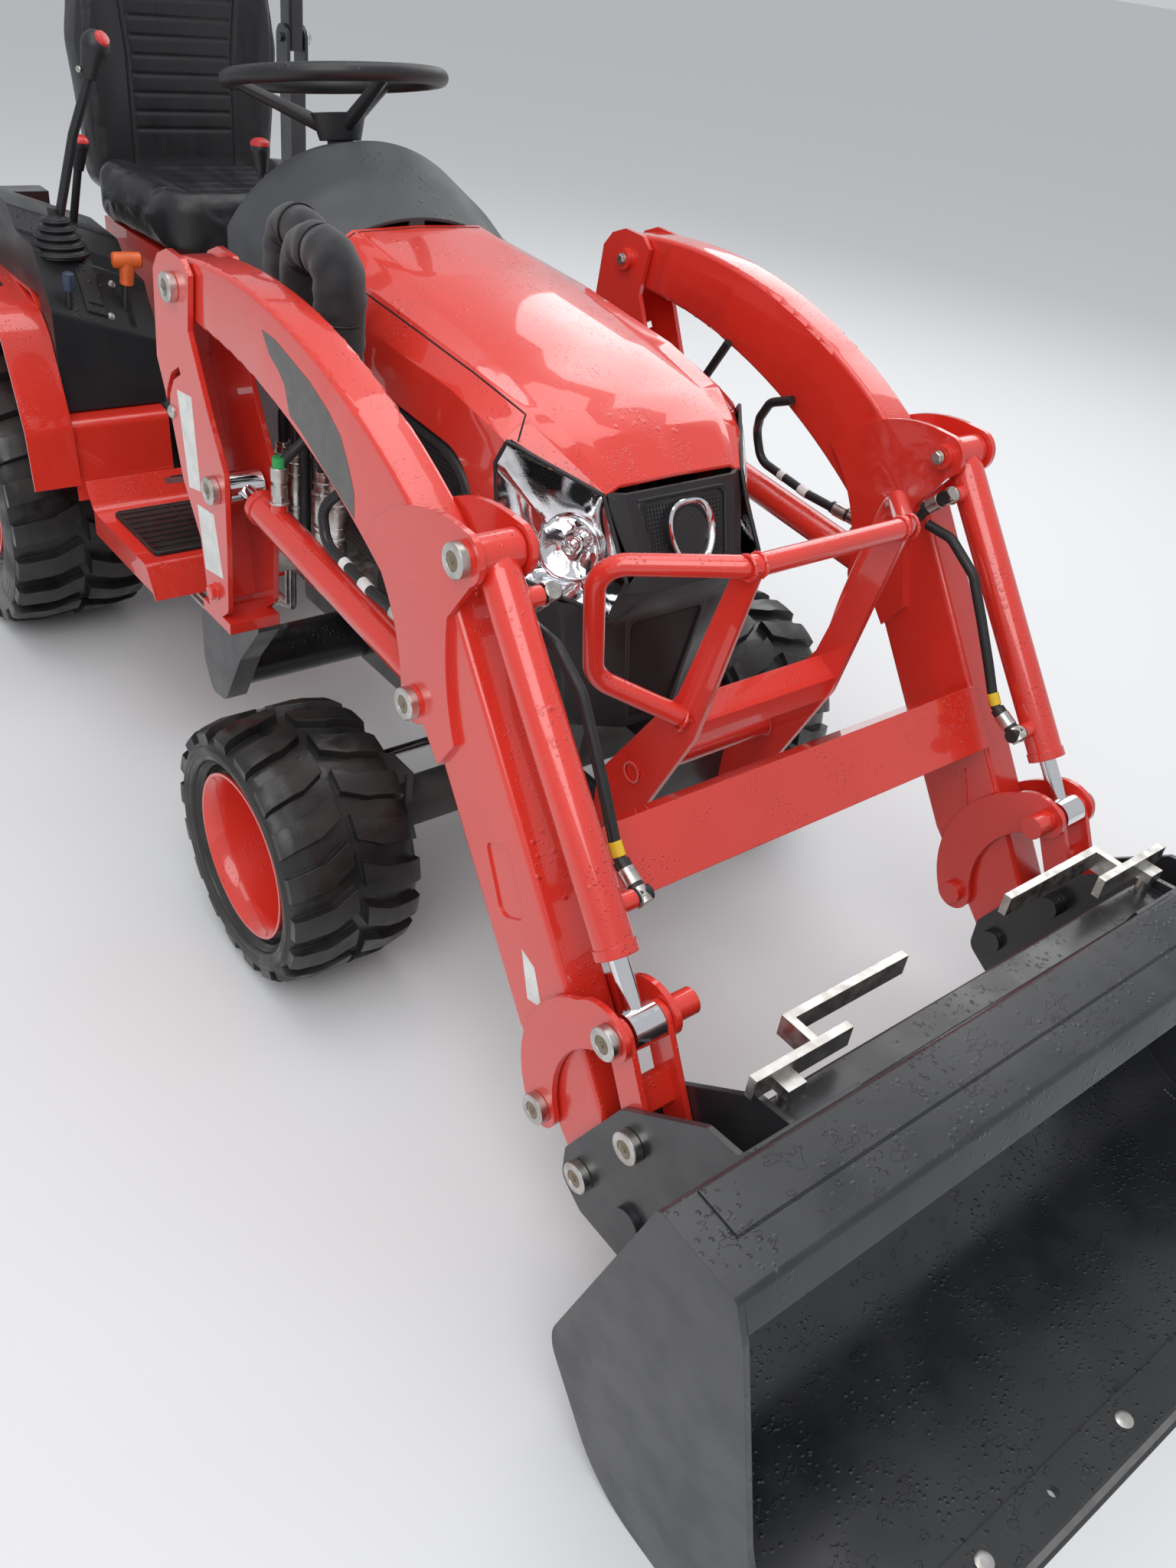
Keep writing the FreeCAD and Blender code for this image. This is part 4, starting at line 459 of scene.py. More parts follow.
class Batch:
    """Small shapes of one finish on one body, made as one piece."""

    def __init__(self, name, body, slot, finish=None, angle=34):
        self.name, self.body, self.slot = name, body, slot
        self.finish = finish or slot
        self.angle = angle
        self.verts = []
        self.faces = []

    def shape(self, verts, faces):
        base = len(self.verts)
        self.verts += [Vector(vert) for vert in verts]
        self.faces += [tuple(base + i for i in face) for face in faces]

    def loft(self, rings, closed=False, ends=True):
        """Faces between rings of points, with flat ends unless it is closed on itself."""
        sides = len(rings[0])
        verts = [point for one in rings for point in one]
        count = len(rings)
        faces = []
        for i in range(count if closed else count - 1):
            j = (i + 1) % count
            for k in range(sides):
                m = (k + 1) % sides
                faces.append((i * sides + k, i * sides + m, j * sides + m, j * sides + k))
        if ends and not closed:
            faces.append(tuple(range(sides - 1, -1, -1)))
            faces.append(tuple((count - 1) * sides + k for k in range(sides)))
        self.shape(verts, faces)

    def turned(self, place, axis, profile, sides=20):
        """A lathe form. The profile holds (distance along the axis, radius) in millimetres."""
        axis = Vector(axis).normalized()
        one = axis.orthogonal().normalized()
        two = axis.cross(one)
        rings = []
        for along, radius in profile:
            rings.append(circle(place + axis * (along / 1000), one, two, max(radius, 0.2) / 1000, sides))
        self.loft(rings)

    def tube(self, points, radius, sides=8, closed=False, flat=1.0):
        """A round bar along points in metres. The radius is in millimetres, or a function of the step."""
        count = len(points)
        rings = []
        side = None
        for i, point in enumerate(points):
            before = points[i - 1] if i or closed else points[0]
            after = points[(i + 1) % count] if i + 1 < count or closed else points[-1]
            along = (after - before).normalized()
            side = along.orthogonal() if side is None else side - along * side.dot(along)
            side.normalize()
            other = along.cross(side)
            size = (radius(i) if callable(radius) else radius) / 1000
            rings.append(circle(point, side, other * flat, size, sides))
        self.loft(rings, closed)

    def ribbon(self, laid, width, thick):
        """A flat band along (point, normal) pairs on a surface, in metres and millimetres."""
        rings = []
        for i, (point, normal) in enumerate(laid):
            before, after = laid[max(i - 1, 0)][0], laid[min(i + 1, len(laid) - 1)][0]
            side = (after - before).cross(normal).normalized() * (width / 2000)
            up = normal * (thick / 1000)
            down = normal * -0.0004
            rings.append([point - side + down, point + side + down, point + side + up, point - side + up])
        self.loft(rings)

    def plate(self, outline, normal, thick):
        """A flat plate over an outline of points, from just under them to a thickness above."""
        normal = Vector(normal).normalized()
        self.loft([[p - normal * 0.0004 for p in outline], [p + normal * (thick / 1000) for p in outline]])

    def screen(self, place, across, up, outline, pitch, hole):
        """A perforated sheet: square holes on a grid inside a convex outline, all in millimetres."""
        def inside(u, v):
            signs = []
            for i, (a, b) in enumerate(outline):
                c, d = outline[(i + 1) % len(outline)]
                signs.append((c - a) * (v - b) - (d - b) * (u - a))
            return all(s >= 0 for s in signs) or all(s <= 0 for s in signs)
        grid = {}

        def corner(u, v):
            key = (round(u, 2), round(v, 2))
            if key not in grid:
                grid[key] = len(self.verts)
                self.verts.append(place + across * (u / 1000) + up * (v / 1000))
            return grid[key]
        us = [u for u, _ in outline]
        vs = [v for _, v in outline]
        h = hole / 2
        for i in range(math.floor(min(us) / pitch), math.ceil(max(us) / pitch)):
            for j in range(math.floor(min(vs) / pitch), math.ceil(max(vs) / pitch)):
                u, v = i * pitch, j * pitch
                outer = [(u, v), (u + pitch, v), (u + pitch, v + pitch), (u, v + pitch)]
                if not all(inside(*one) for one in outer):
                    continue
                mu, mv = u + pitch / 2, v + pitch / 2
                inner = [(mu - h, mv - h), (mu + h, mv - h), (mu + h, mv + h), (mu - h, mv + h)]
                out = [corner(*one) for one in outer]
                base = [corner(*one) for one in inner]
                for k in range(4):
                    m = (k + 1) % 4
                    self.faces.append((out[k], out[m], base[m], base[k]))

    def done(self):
        """Make the piece, in its finish, on its body, unless nothing was laid in it."""
        if not self.verts:
            return None
        mesh = bpy.data.meshes.new(self.name)
        mesh.from_pydata(self.verts, [], self.faces)
        work = bmesh.new()
        work.from_mesh(mesh)
        bmesh.ops.recalc_face_normals(work, faces=work.faces)
        work.to_mesh(mesh)
        work.free()
        mesh.shade_smooth()
        mesh.set_sharp_from_angle(angle=math.radians(self.angle))
        mesh.materials.append(MATERIALS[self.finish])
        piece = bpy.data.objects.new(self.name, mesh)
        bpy.context.scene.collection.objects.link(piece)
        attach(piece, self.body)
        return piece


def mirrored(points, side):
    """Drawn places on the left side, or their mirror images on the right."""
    return [at(x, side * y, z) for x, y, z in points]


def spread(points, step):
    """Places along an open line, no further apart than a step in metres."""
    out = [points[0]]
    for one, two in zip(points, points[1:]):
        count = max(1, math.ceil((two - one).length / step))
        out += [one.lerp(two, (i + 1) / count) for i in range(count)]
    return out


def rounded(points, radius, steps=5):
    """An open line with its corners turned into small arcs."""
    out = [points[0]]
    for before, here, after in zip(points, points[1:], points[2:]):
        one = (before - here).normalized()
        two = (after - here).normalized()
        run = min(radius, (before - here).length * 0.45, (after - here).length * 0.45)
        start, end = here + one * run, here + two * run
        for i in range(steps + 1):
            t = i / steps
            out.append(start * (1 - t) ** 2 + here * (2 * t * (1 - t)) + end * t ** 2)
    return out + [points[-1]]


# Pins and bolts

SIDES = (1, -1)
PIN_FACE = 504
PIN_CAP = ((-11, 22.5), (0.6, 22.5), (1.8, 21.2), (1.8, 12.6), (0.7, 12.2))
PIN_GREASE = ((0.2, 12.0), (1.2, 12.0), (1.5, 9.0), (2.0, 4.4), (3.4, 4.0), (4.2, 1.6))
PINS = (
    # body, x, z
    ("chassis", -373, 1032),
    ("chassis", -257, 753),
    ("boom", 432, 941),
    ("boom", 339, 693),
    ("boom", 701, 253),
    ("tilt_links", 808, 478),
    ("bucket", 801, 218),
    ("bucket", 876, 358),
)


def hexagon(batch, place, axis, across, height):
    """A hexagon head with a washer under it, in millimetres."""
    half = across / 2
    batch.turned(place, axis, [(-0.4, half * 1.3), (1.8, half * 1.3), (2.2, half * 1.24)], 24)
    batch.turned(place, axis, [(1.6, half * 1.12), (height - 1.4, half * 1.12), (height, half * 0.96)], 6)


def pins():
    """Zinc caps over the outer pin heads, and bolts that keep the inner ends."""
    bodies = sorted({body for body, _, _ in PINS})
    for body in bodies:
        caps = Batch("pin_caps_" + body, body, "zinc")
        grease = Batch("pin_grease_" + body, body, "zinc", "grease")
        for owner, x, z in PINS:
            if owner != body:
                continue
            for side in SIDES:
                face = at(x, side * PIN_FACE, z)
                out = (0, side, 0)
                caps.turned(face, out, PIN_CAP, 40)
                grease.turned(face, out, PIN_GREASE, 24)
        caps.done()
        grease.done()
    ends = Batch("pin_end_bolts", "boom", "zinc")
    for x, z in ((432, 941), (339, 693)):
        for side in SIDES:
            hexagon(ends, at(x, side * 390, z), (0, -side, 0), 17, 7)
    ends.done()
    mast = Batch("mast_fasteners", "chassis", "zinc")
    for side in SIDES:
        out = (0, side, 0)
        dome = [(-0.4, 11), (2, 11), (4, 9.5), (6.5, 6.5), (7.5, 2.5)]
        mast.turned(at(-407, side * 492, 828), out, dome, 24)
        hexagon(mast, at(-373, side * 390, 1032), (0, -side, 0), 17, 7)
    mast.done()
    feet = Batch("mast_foot_bolts", "chassis", "red_paint")
    for side in SIDES:
        hexagon(feet, at(-276, side * 492, 566), (0, side, 0), 24, 12)
    feet.done()


def wheel_bolts():
    """Hexagon heads round each hub, and a cap in the middle."""
    for name, x, z, y in (("front", 0, 230, 490), ("rear", -1398, 330, 441)):
        for side, word in ((1, "left"), (-1, "right")):
            skin = Skin(f"{name}_rim_{word}")
            bolts = Batch(f"{name}_wheel_bolts_{word}", f"{name}_wheel_{word}", "zinc")
            for i in range(5):
                turn = 2 * math.pi * i / 5
                start = at(x + 55 * math.cos(turn), side * 700, z + 55 * math.sin(turn))
                hit, _ = skin.seen(start, (0, -side, 0))
                if hit:
                    hexagon(bolts, hit, (0, side, 0), 19, 9)
            bolts.done()


# Hood, nose and lamps

LAMP_OUTLINE = (
    (147, 229, 945), (126, 231, 906), (140, 231, 825), (185, 221, 750), (262, 186, 742),
    (308, 134, 722), (334, 134, 790), (294, 134, 845), (262, 137, 895),
)
LENS_BULGE = 0.014
BOWL_R = 0.047
BOWL_CELLS = 20


def hood_seam_painted_shade():
    """Painted shade: near-black bands laid along the hood's panel seams, standing for the shade inside them."""
    skin = Skin("hood")
    # painted shade: a near-black band along each panel seam
    seam_shade = Batch("hood_seam_painted_shade", "hood", "black_plastic", "gap_painted_shade")
    for side in SIDES:
        line = spread(mirrored([(-474, 201, 1200), (-250, 205, 1200), (0, 201, 1200), (133, 190, 1200),
                                (150, 212, 1200), (152, 222, 1200)], side), 0.012)
        seam_shade.ribbon(skin.line(line), 2.6, 0.35)
    seam_shade.ribbon(skin.line([at(-466, y, 1094) for y in range(-190, 191, 12)]), 3.0, 0.35)
    seam_shade.done()


def lamps():
    """Each lamp: a black surround, a faceted reflector with a round bowl, and a clear domed lens."""
    lens = Batch("lamp_glass", "hood", "lamp_lens", angle=80)
    reflector = Batch("lamp_reflectors", "hood", "chrome", "reflector", angle=60)
    facets = Batch("lamp_facets", "hood", "chrome", "reflector", angle=2)
    bowl = Batch("lamp_bowls", "hood", "chrome", "reflector", angle=40)
    trim = Batch("lamp_surrounds", "hood", "black_plastic")
    for side in SIDES:
        drawn = mirrored(LAMP_OUTLINE, side)
        middle = sum(drawn, Vector()) / len(drawn)
        normal = (drawn[6] - drawn[1]).cross(drawn[3] - drawn[0]).normalized()
        if normal.x < 0:
            normal = -normal
        loop = spread(drawn + drawn[:1], 0.016)[:-1]
        count = len(loop)
        rings = []
        for share in (1 - i / 8 for i in range(8)):
            lift = normal * LENS_BULGE * (1 - share ** 2)
            rings.append([middle + (corner - middle) * share + lift for corner in loop])
        faces = []
        for k in range(count):
            m = (k + 1) % count
            faces += [(i * count + k, i * count + m, (i + 1) * count + m, (i + 1) * count + k) for i in range(7)]
            faces.append((7 * count + k, 7 * count + m, 8 * count))
        lens.shape([point for ring in rings for point in ring] + [middle + normal * LENS_BULGE], faces)
        trim.tube(loop, 3.4, 8, closed=True)
        heart = middle.lerp(drawn[5], 0.16).lerp(drawn[3], 0.10) - normal * 0.012
        across = (drawn[5] - heart).normalized()
        across = (across - normal * across.dot(normal)).normalized()
        up = normal.cross(across).normalized()
        rays = [corner - heart for corner in loop]
        rim = [(ray - normal * ray.dot(normal)).normalized() * BOWL_R for ray in rays]
        dish = []
        for share in (0.0, 0.2, 0.45, 0.7, 0.9, 1.0):
            depth = normal * (0.003 + 0.018 * math.sin(math.pi / 2 * share))
            dish.append([(heart + ray * 0.985).lerp(heart + one, share) - depth
                         for ray, one in zip(rays, rim)])
        dish.append([heart + one * 0.97 - normal * 0.016 for one in rim])
        reflector.loft(dish, ends=False)
        floor = heart - normal * 0.016
        rings = []
        for j in range(5):
            first = math.pi / BOWL_CELLS * (j % 2)
            rings.append(circle(floor - normal * 0.0055 * j, across, up, BOWL_R * (1 - j * 0.19), BOWL_CELLS,
                                first, first + math.tau))
        facets.loft(rings, ends=False)
        facets.shape(rings[-1], [tuple(range(BOWL_CELLS))])
        bowl.tube([heart + one - normal * 0.0165 for one in rim], 2.4, 8, closed=True)
        arc = circle(heart - normal * 0.0165, across, up, 0.060, 19, math.radians(-150), math.radians(40))
        bowl.tube(arc, 1.6, 6)
        bulb = [(0, 15), (3, 15), (3, 12), (7, 11), (12, 7), (14, 2.5)]
        bowl.turned(floor - normal * 0.018, normal, bulb, 28)
    glass = lens.done()
    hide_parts("headlamps")
    reflector.done()
    facets.done()
    bowl.done()
    trim.done()


BADGE = (298, 832)


def nose_trim():
    """Perforated sheets in the nose, and the bare bright ring on it."""
    slope = Vector((332.6 - 273.9, 0, 768 - 893)).normalized()
    out = Vector((-slope.z, 0, slope.x))
    out = out if out.x > 0 else -out
    sheet = Batch("grille_screen", "hood", "black_plastic")
    middle = at(*((273.9 + 332.6) / 2, 0, (893 + 768) / 2)) + out * 0.0014
    sheet.screen(middle, Vector((0, 1, 0)), -slope, [(-82, 55), (82, 55), (66, -47), (-66, -47)], 6.2, 3.6)
    down = Vector((282.3 - 288.8, 0, 497 - 697)).normalized()
    ahead = Vector((-down.z, 0, down.x))
    ahead = ahead if ahead.x > 0 else -ahead
    low = at(285.55, 0, 597) + ahead * 0.0014
    sheet.screen(low, Vector((0, 1, 0)), -down, [(-76, 92), (76, 92), (40, -91), (-40, -91)], 4.2, 2.6)
    sheet.done()
    vents = Batch("vent_screens", "hood", "black_plastic")
    rims = Batch("vent_frames", "hood", "black_plastic")
    arch = [(-436, 900), (-259, 893), (-10, 874), (40, 850), (68, 800), (70, 640), (30, 500), (-436, 500)]
    for side in SIDES:
        vents.screen(at(0, side * 229.7, 0), Vector((1, 0, 0)), Vector((0, 0, 1)), arch, 8.0, 5.0)
        rim = [(-438, 912), (-259, 899), (-4, 880), (48, 856), (76, 806), (78, 650)]
        line = rounded(mirrored([(x, 230.5, z) for x, z in rim], side), 0.03)
        rims.tube(line, 9, 10, flat=0.45)
    vents.done()
    rims.done()
    facing = Vector((0.9, 0, 0.43)).normalized()
    side, up = Vector((0, 1, 0)), facing.cross(Vector((0, 1, 0)))
    up = up if up.z > 0 else -up
    place = at(BADGE[0], 0, BADGE[1]) + facing * 0.0158

    def shield(scale, lift):
        points = []
        for k in range(48):
            turn = 2 * math.pi * k / 48
            c, s = math.cos(turn), math.sin(turn)
            wide = 0.040 * math.copysign(abs(c) ** 0.72, c) * (1 if s > 0 else 1 + 0.22 * s)
            tall = 0.042 * math.copysign(abs(s) ** 0.80, s) * (1 if s > 0 else 1.16)
            points.append(place + side * wide * scale + up * tall * scale + facing * lift)
        return points
    ring = Batch("nose_ring", "hood", "chrome")
    ring.tube(shield(1.0, 0.001), 6.2, 10, closed=True, flat=0.7)
    ring.done()
    blank = Batch("nose_ring_field", "hood", "black_plastic")
    blank.loft([shield(1.0, -0.006), shield(0.96, -0.002), shield(0.6, 0.0)])
    blank.done()
    lip = Batch("nose_edges", "hood", "black_plastic")
    window = [(-88, 884), (88, 884), (71, 782), (-71, 782)]
    frame_line = [at(303.2 - (z - 830.5) * 0.4696, y, z) + out * 0.002 for y, z in window]
    lip.tube(rounded(frame_line + frame_line[:2], 0.014)[:-1], 3.2, 8)
    lip.done()


# Hoses, fittings and the fabric sleeves

def collars(batch, line, stations):
    """Rings round a hose line: (metres along, length, radius), the last two in millimetres."""
    for along, length, radius in stations:
        left = along
        for one, two in zip(line, line[1:]):
            run = (two - one).length
            if left <= run:
                axis = (two - one).normalized()
                place = one + axis * left
                half = length / 2
                batch.turned(place, axis, [(-half, radius - 0.7), (-half + 0.8, radius), (half - 0.8, radius),
                                           (half, radius - 0.7)], 18)
                break
            left -= run


LIFT_BASE_HOSE = ((150, 447, 758), (22, 447, 774), (2, 443, 822), (30, 413, 862), (62, 397, 902),
                  (110, 397, 922))
LIFT_GLAND_HOSE = ((-124, 447, 783), (-124, 447, 823), (-122, 443, 843), (-112, 397, 885), (-64, 397, 968))
TILT_GLAND_HOSE = ((715, 387.7, 592), (662, 387.7, 619), (630, 387.7, 677), (594, 387.7, 737),
                   (556, 387.7, 797), (498, 387.7, 834), (450, 387.7, 837))
TILT_BASE_HOSE = ((471, 387.7, 893), (443, 387.7, 865), (420, 387.7, 823))
# Fabric sleeves: y, rear leg x, front leg x, crown z, low end z of the front leg, then the couplers' x
COUPLER_X = (-300, -255, -165, -120)
SLEEVES = ((300, -380, -285, 1118, 962, COUPLER_X[:2]), (360, -210, -100, 1133, 985, COUPLER_X[2:]))
COUPLER_Y = 352
COUPLER_TOP = 800
SLEEVE_R = 35.2


def hose_trim():
    """Crimped ends, unions and coloured bands on the hoses that the cylinders carry."""
    for body, name in (("lift_barrels", "lift"), ("tilt_barrels", "tilt")):
        zinc = Batch(name + "_hose_fittings", body, "zinc")
        white = Batch(name + "_hose_white_bands", body, "rubber", "white_label")
        for side in SIDES:
            if name == "lift":
                gland = mirrored(LIFT_GLAND_HOSE, side)
                base = mirrored(LIFT_BASE_HOSE, side)
                up = (0, 0, 1)
                hexagon(zinc, gland[0] + Vector((0, 0, -0.004)), up, 24, 14)
                crimp = [(0, 12.6), (16, 12.6), (17, 11), (22, 11), (23, 13), (44, 13), (45, 11.8)]
                zinc.turned(gland[0] + Vector((0, 0, 0.008)), up, crimp, 24)
                green = Batch(f"lift_hose_green_band_{side + 2}", body, "rubber", "green_band")
                band = [(0, 9.4), (0.8, 10), (23, 10), (24, 9.4)]
                green.turned(gland[1] + Vector((0.0005, 0, 0.004)), up, band, 20)
                green.done()
                foot = at(276, side * 447, 743)
                hexagon(zinc, foot + Vector((0, 0, -0.002)), up, 22, 12)
                along = (base[0] - at(276, side * 447, 757)).normalized()
                start = at(266, side * 447, 758)
                crimp = [(0, 11.8), (14, 11.8), (15, 10.6), (20, 10.6), (21, 12.4), (48, 12.4), (49, 11.4)]
                zinc.turned(start, along, crimp, 24)
                collars(white, rounded(base, 0.034), [(0.012, 22, 9.0), (0.070, 15, 8.8)])
            else:
                for route, yellow in ((TILT_GLAND_HOSE, True), (TILT_BASE_HOSE, False)):
                    line = mirrored(route, side)
                    inward = Vector((0, -side, 0))
                    boss = line[0] - inward * 0.013
                    hexagon(zinc, boss + inward * 0.004, inward, 22, 13)
                    along = (line[1] - line[0]).normalized()
                    crimp = [(0, 11.6), (22, 11.6), (23, 10), (27, 10), (28, 12.2), (50, 12.2), (51, 11.2)]
                    zinc.turned(line[0] - along * 0.012, along, crimp, 24)
                    if yellow:
                        band = Batch(f"tilt_hose_yellow_band_{side + 2}", body, "rubber", "yellow_band")
                        collars(band, rounded(line, 0.03), [(0.066, 20, 9.2)])
                        band.done()
        zinc.done()
        white.done()


def crumpled(radius, turn, along, seed):
    """How far a gathered sleeve's cloth stands out at a place round it and along it, in millimetres."""
    folds = math.sin(3 * turn + seed + 9 * along) * 0.9 + math.sin(5 * turn - 31 * along + seed * 2) * 0.8
    rucks = math.sin(210 * along + 2.2 * math.sin(turn + seed)) * 0.9
    slack = 2.0 * math.sin(17 * along + seed)
    return radius + folds + rucks + slack


def sleeves():
    """Gathered fabric round each bundle of hoses, with ties, and the bands on the hoses below."""
    cloth = Batch("hose_sleeves", "chassis", "rubber", "sleeve_fabric", angle=70)
    ties = Batch("sleeve_ties", "chassis", "black_plastic")
    white = Batch("feed_hose_white_bands", "chassis", "rubber", "white_label")
    yellow = Batch("feed_hose_yellow_band", "chassis", "rubber", "yellow_band")
    green = Batch("feed_hose_green_band", "chassis", "rubber", "green_band")
    for index, (y, rear_x, front_x, crown, low, couplers) in enumerate(SLEEVES):
        corners = [at(rear_x, -y, 900), at(rear_x, -y, crown), at(front_x, -y, crown), at(front_x, -y, low)]
        line = spread(rounded(corners, 0.047, 10), 0.004)
        sides = 40
        rings = []
        gone = 0.0
        tie_at = (0.10, 0.245, 0.36) if index == 0 else (0.12, 0.27, 0.39)
        for i, point in enumerate(line):
            before, after = line[max(i - 1, 0)], line[min(i + 1, len(line) - 1)]
            along = (after - before).normalized()
            gone += (point - before).length
            side = Vector((0, 1, 0))
            other = along.cross(side)
            pinch = min(1.0, min(abs(gone - place) for place in tie_at) / 0.016)
            reach = []
            for k in range(sides):
                turn = 2 * math.pi * k / sides
                size = crumpled(SLEEVE_R, turn, gone, index * 1.7) * (0.952 + 0.048 * pinch)
                ray = side * math.cos(turn) + other * math.sin(turn)
                reach.append(point + ray * (max(size, 33.3) / 1000))
            rings.append(reach)
            if any(abs(gone - place) < 0.002 for place in tie_at):
                ties.tube(circle(point, side, other, SLEEVE_R / 1000, 32), 1.8, 6, closed=True)
        cloth.loft(rings)
        for j, (offset, coupler_x) in enumerate(zip((-11, 11), couplers)):
            x = front_x + offset
            hose = rounded([at(x, -y, low), at(x, -y, low - 40), at(coupler_x, -COUPLER_Y, COUPLER_TOP + 50),
                            at(coupler_x, -COUPLER_Y, COUPLER_TOP)], 0.024)
            batch = (yellow, white, green, white)[index * 2 + j]
            collars(batch, hose, [(0.030 + 0.012 * j, 24, 9.6)])
    for batch in (cloth, ties, white, yellow, green):
        batch.done()


def couplers():
    """Bright sleeves and grooves on the quick couplers."""
    rings = Batch("coupler_collars", "chassis", "zinc")
    for x in COUPLER_X:
        for z in (672, 706, 724, 762):
            rings.turned(at(x, -COUPLER_Y, z), (0, 0, 1), [(-3, 16.4), (-2, 17.6), (2, 17.6), (3, 16.4)], 24)
        hexagon(rings, at(x, -COUPLER_Y, 780), (0, 0, 1), 24, 14)
    rings.done()


# Operator's place

def stitched(batch, line):
    """Short raised threads along a line: 4.8 mm each, with 2.4 mm between."""
    fine = spread(line, 0.0012)
    step, run = 6, 4
    for i in range(0, len(fine) - run - 1, step):
        batch.tube(fine[i:i + run + 1], 0.55, 5)


def groove(distance, width, depth):
    return -depth * math.exp(-(distance / width) ** 2)


def smooth_step(low, high, value):
    t = min(1.0, max(0.0, (value - low) / (high - low)))
    return t * t * (3 - 2 * t)


# Sewn lines of the back, as heights above its foot in millimetres, and how far out the side seams are
BACK_LINES = (1052, 1086, 1122, 1158, 1194, 1230, 1266, 1302, 1338)
BACK_SEAM = 118
CUSHION_SEAM_Y = 128
CUSHION_SEAM_X = -1108
PUFF_LIMIT = 0.010


def back_shape(x, y, z):
    """How far the back's face sinks at a place, in millimetres: a hollow between bolsters, and seams."""
    wide = BACK_SEAM + 0.10 * max(0.0, z - 1200)
    hollow = -17 * (1 - smooth_step(wide - 6, wide + 62, abs(y))) * smooth_step(905, 1000, z)
    hollow *= 1 - 0.7 * smooth_step(1340, 1450, z)
    side_seam = groove(abs(y) - wide, 4.2, 5.5) * smooth_step(930, 960, z) * (1 - smooth_step(1380, 1400, z))
    sunk = hollow + side_seam
    if abs(y) < wide:
        for line in BACK_LINES:
            sunk += groove(z - line, 3.4, 3.2) * (1 - smooth_step(wide - 16, wide - 4, abs(y)))
    top = 1388 - 0.0011 * y * y
    if abs(y) < wide + 14:
        sunk += groove(z - top, 4.0, 4.2)
    sunk += groove(abs(y) - 205, 3.6, 3.0)
    return sunk


def cushion_shape(x, y, z):
    """How far the cushion's top sinks at a place, in millimetres."""
    hollow = -13 * (1 - smooth_step(CUSHION_SEAM_Y - 10, CUSHION_SEAM_Y + 55, abs(y)))
    hollow *= 1 - smooth_step(CUSHION_SEAM_X - 30, CUSHION_SEAM_X + 34, x)
    hollow *= smooth_step(-1438, -1400, x)
    sunk = hollow
    if x < CUSHION_SEAM_X:
        sunk += groove(abs(y) - CUSHION_SEAM_Y, 4.2, 5.0)
        fade = 1 - smooth_step(CUSHION_SEAM_Y - 14, CUSHION_SEAM_Y - 3, abs(y))
        for line in (-1375, -1325, -1275, -1225, -1175):
            sunk += groove(x - line, 3.4, 2.6) * fade
    sunk += groove(x - CUSHION_SEAM_X + 0.0009 * y * y, 4.2, 4.6) * (1 - smooth_step(196, 214, abs(y)))
    return sunk


def soft_pad(name, node, axis, sink):
    """A stuffed pad from a CAD solid: remeshed, puffed by a cloth simulation, then sewn down at its seams."""
    pad = bpy.data.objects.new(name, NODES[node].data.copy())
    bpy.context.scene.collection.objects.link(pad)
    low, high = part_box(node)
    middle = (Vector(low) + Vector(high)) / 2
    remesh = pad.modifiers.new("even", "REMESH")
    remesh.mode = "VOXEL"
    remesh.voxel_size = 0.006
    mesh = applied(pad)
    start = []
    for vertex in mesh.vertices:
        offset = vertex.co - middle
        vertex.co = middle + Vector((offset.x * 0.975, offset.y * 0.975, offset.z * 0.985))
        start.append(vertex.co.copy())
    cloth = pad.modifiers.new("puff", "CLOTH")
    cloth.settings.quality = 5
    cloth.settings.use_pressure = True
    cloth.settings.uniform_pressure_force = 4
    cloth.settings.effector_weights.gravity = 0
    cloth.point_cache.frame_start = 1
    cloth.point_cache.frame_end = 20
    for step in range(1, 21):
        bpy.context.scene.frame_set(step)
    mesh = applied(pad)
    bpy.context.scene.frame_set(1)
    for vertex, first in zip(mesh.vertices, start):
        move = vertex.co - first
        if move.length > PUFF_LIMIT:
            vertex.co = first + move.normalized() * PUFF_LIMIT
    for vertex in mesh.vertices:
        co = vertex.co
        for i in range(3):
            co[i] = min(max(co[i], low[i] + 0.0005), high[i] - 0.0005)
    fine = pad.modifiers.new("fine", "SUBSURF")
    fine.levels = 1
    fine.render_levels = 1
    smooth = applied(pad)
    facings = [vertex.normal.dot(axis) for vertex in smooth.vertices]
    places = []
    for vertex, facing in zip(smooth.vertices, facings):
        co = vertex.co.copy()
        if facing > 0.35:
            sunk = sink((co.x - SHIFT) * 1000, co.y * 1000, co.z * 1000)
            co += axis * (sunk / 1000 * smooth_step(0.35, 0.7, facing))
        places.extend(co)
    smooth.vertices.foreach_set("co", places)
    smooth.update()
    smooth.shade_smooth()
    smooth.materials.clear()
    smooth.materials.append(MATERIALS["seat_vinyl"])
    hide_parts(node)
    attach(pad, "chassis")
    return pad


def laid_on(piece, points, towards):
    """Points dropped onto a made piece."""
    tree = surface(piece.data)
    out = []
    for point in points:
        hit, _, _, _ = tree.ray_cast(point, Vector(towards))
        if hit is not None:
            out.append(hit)
    return out


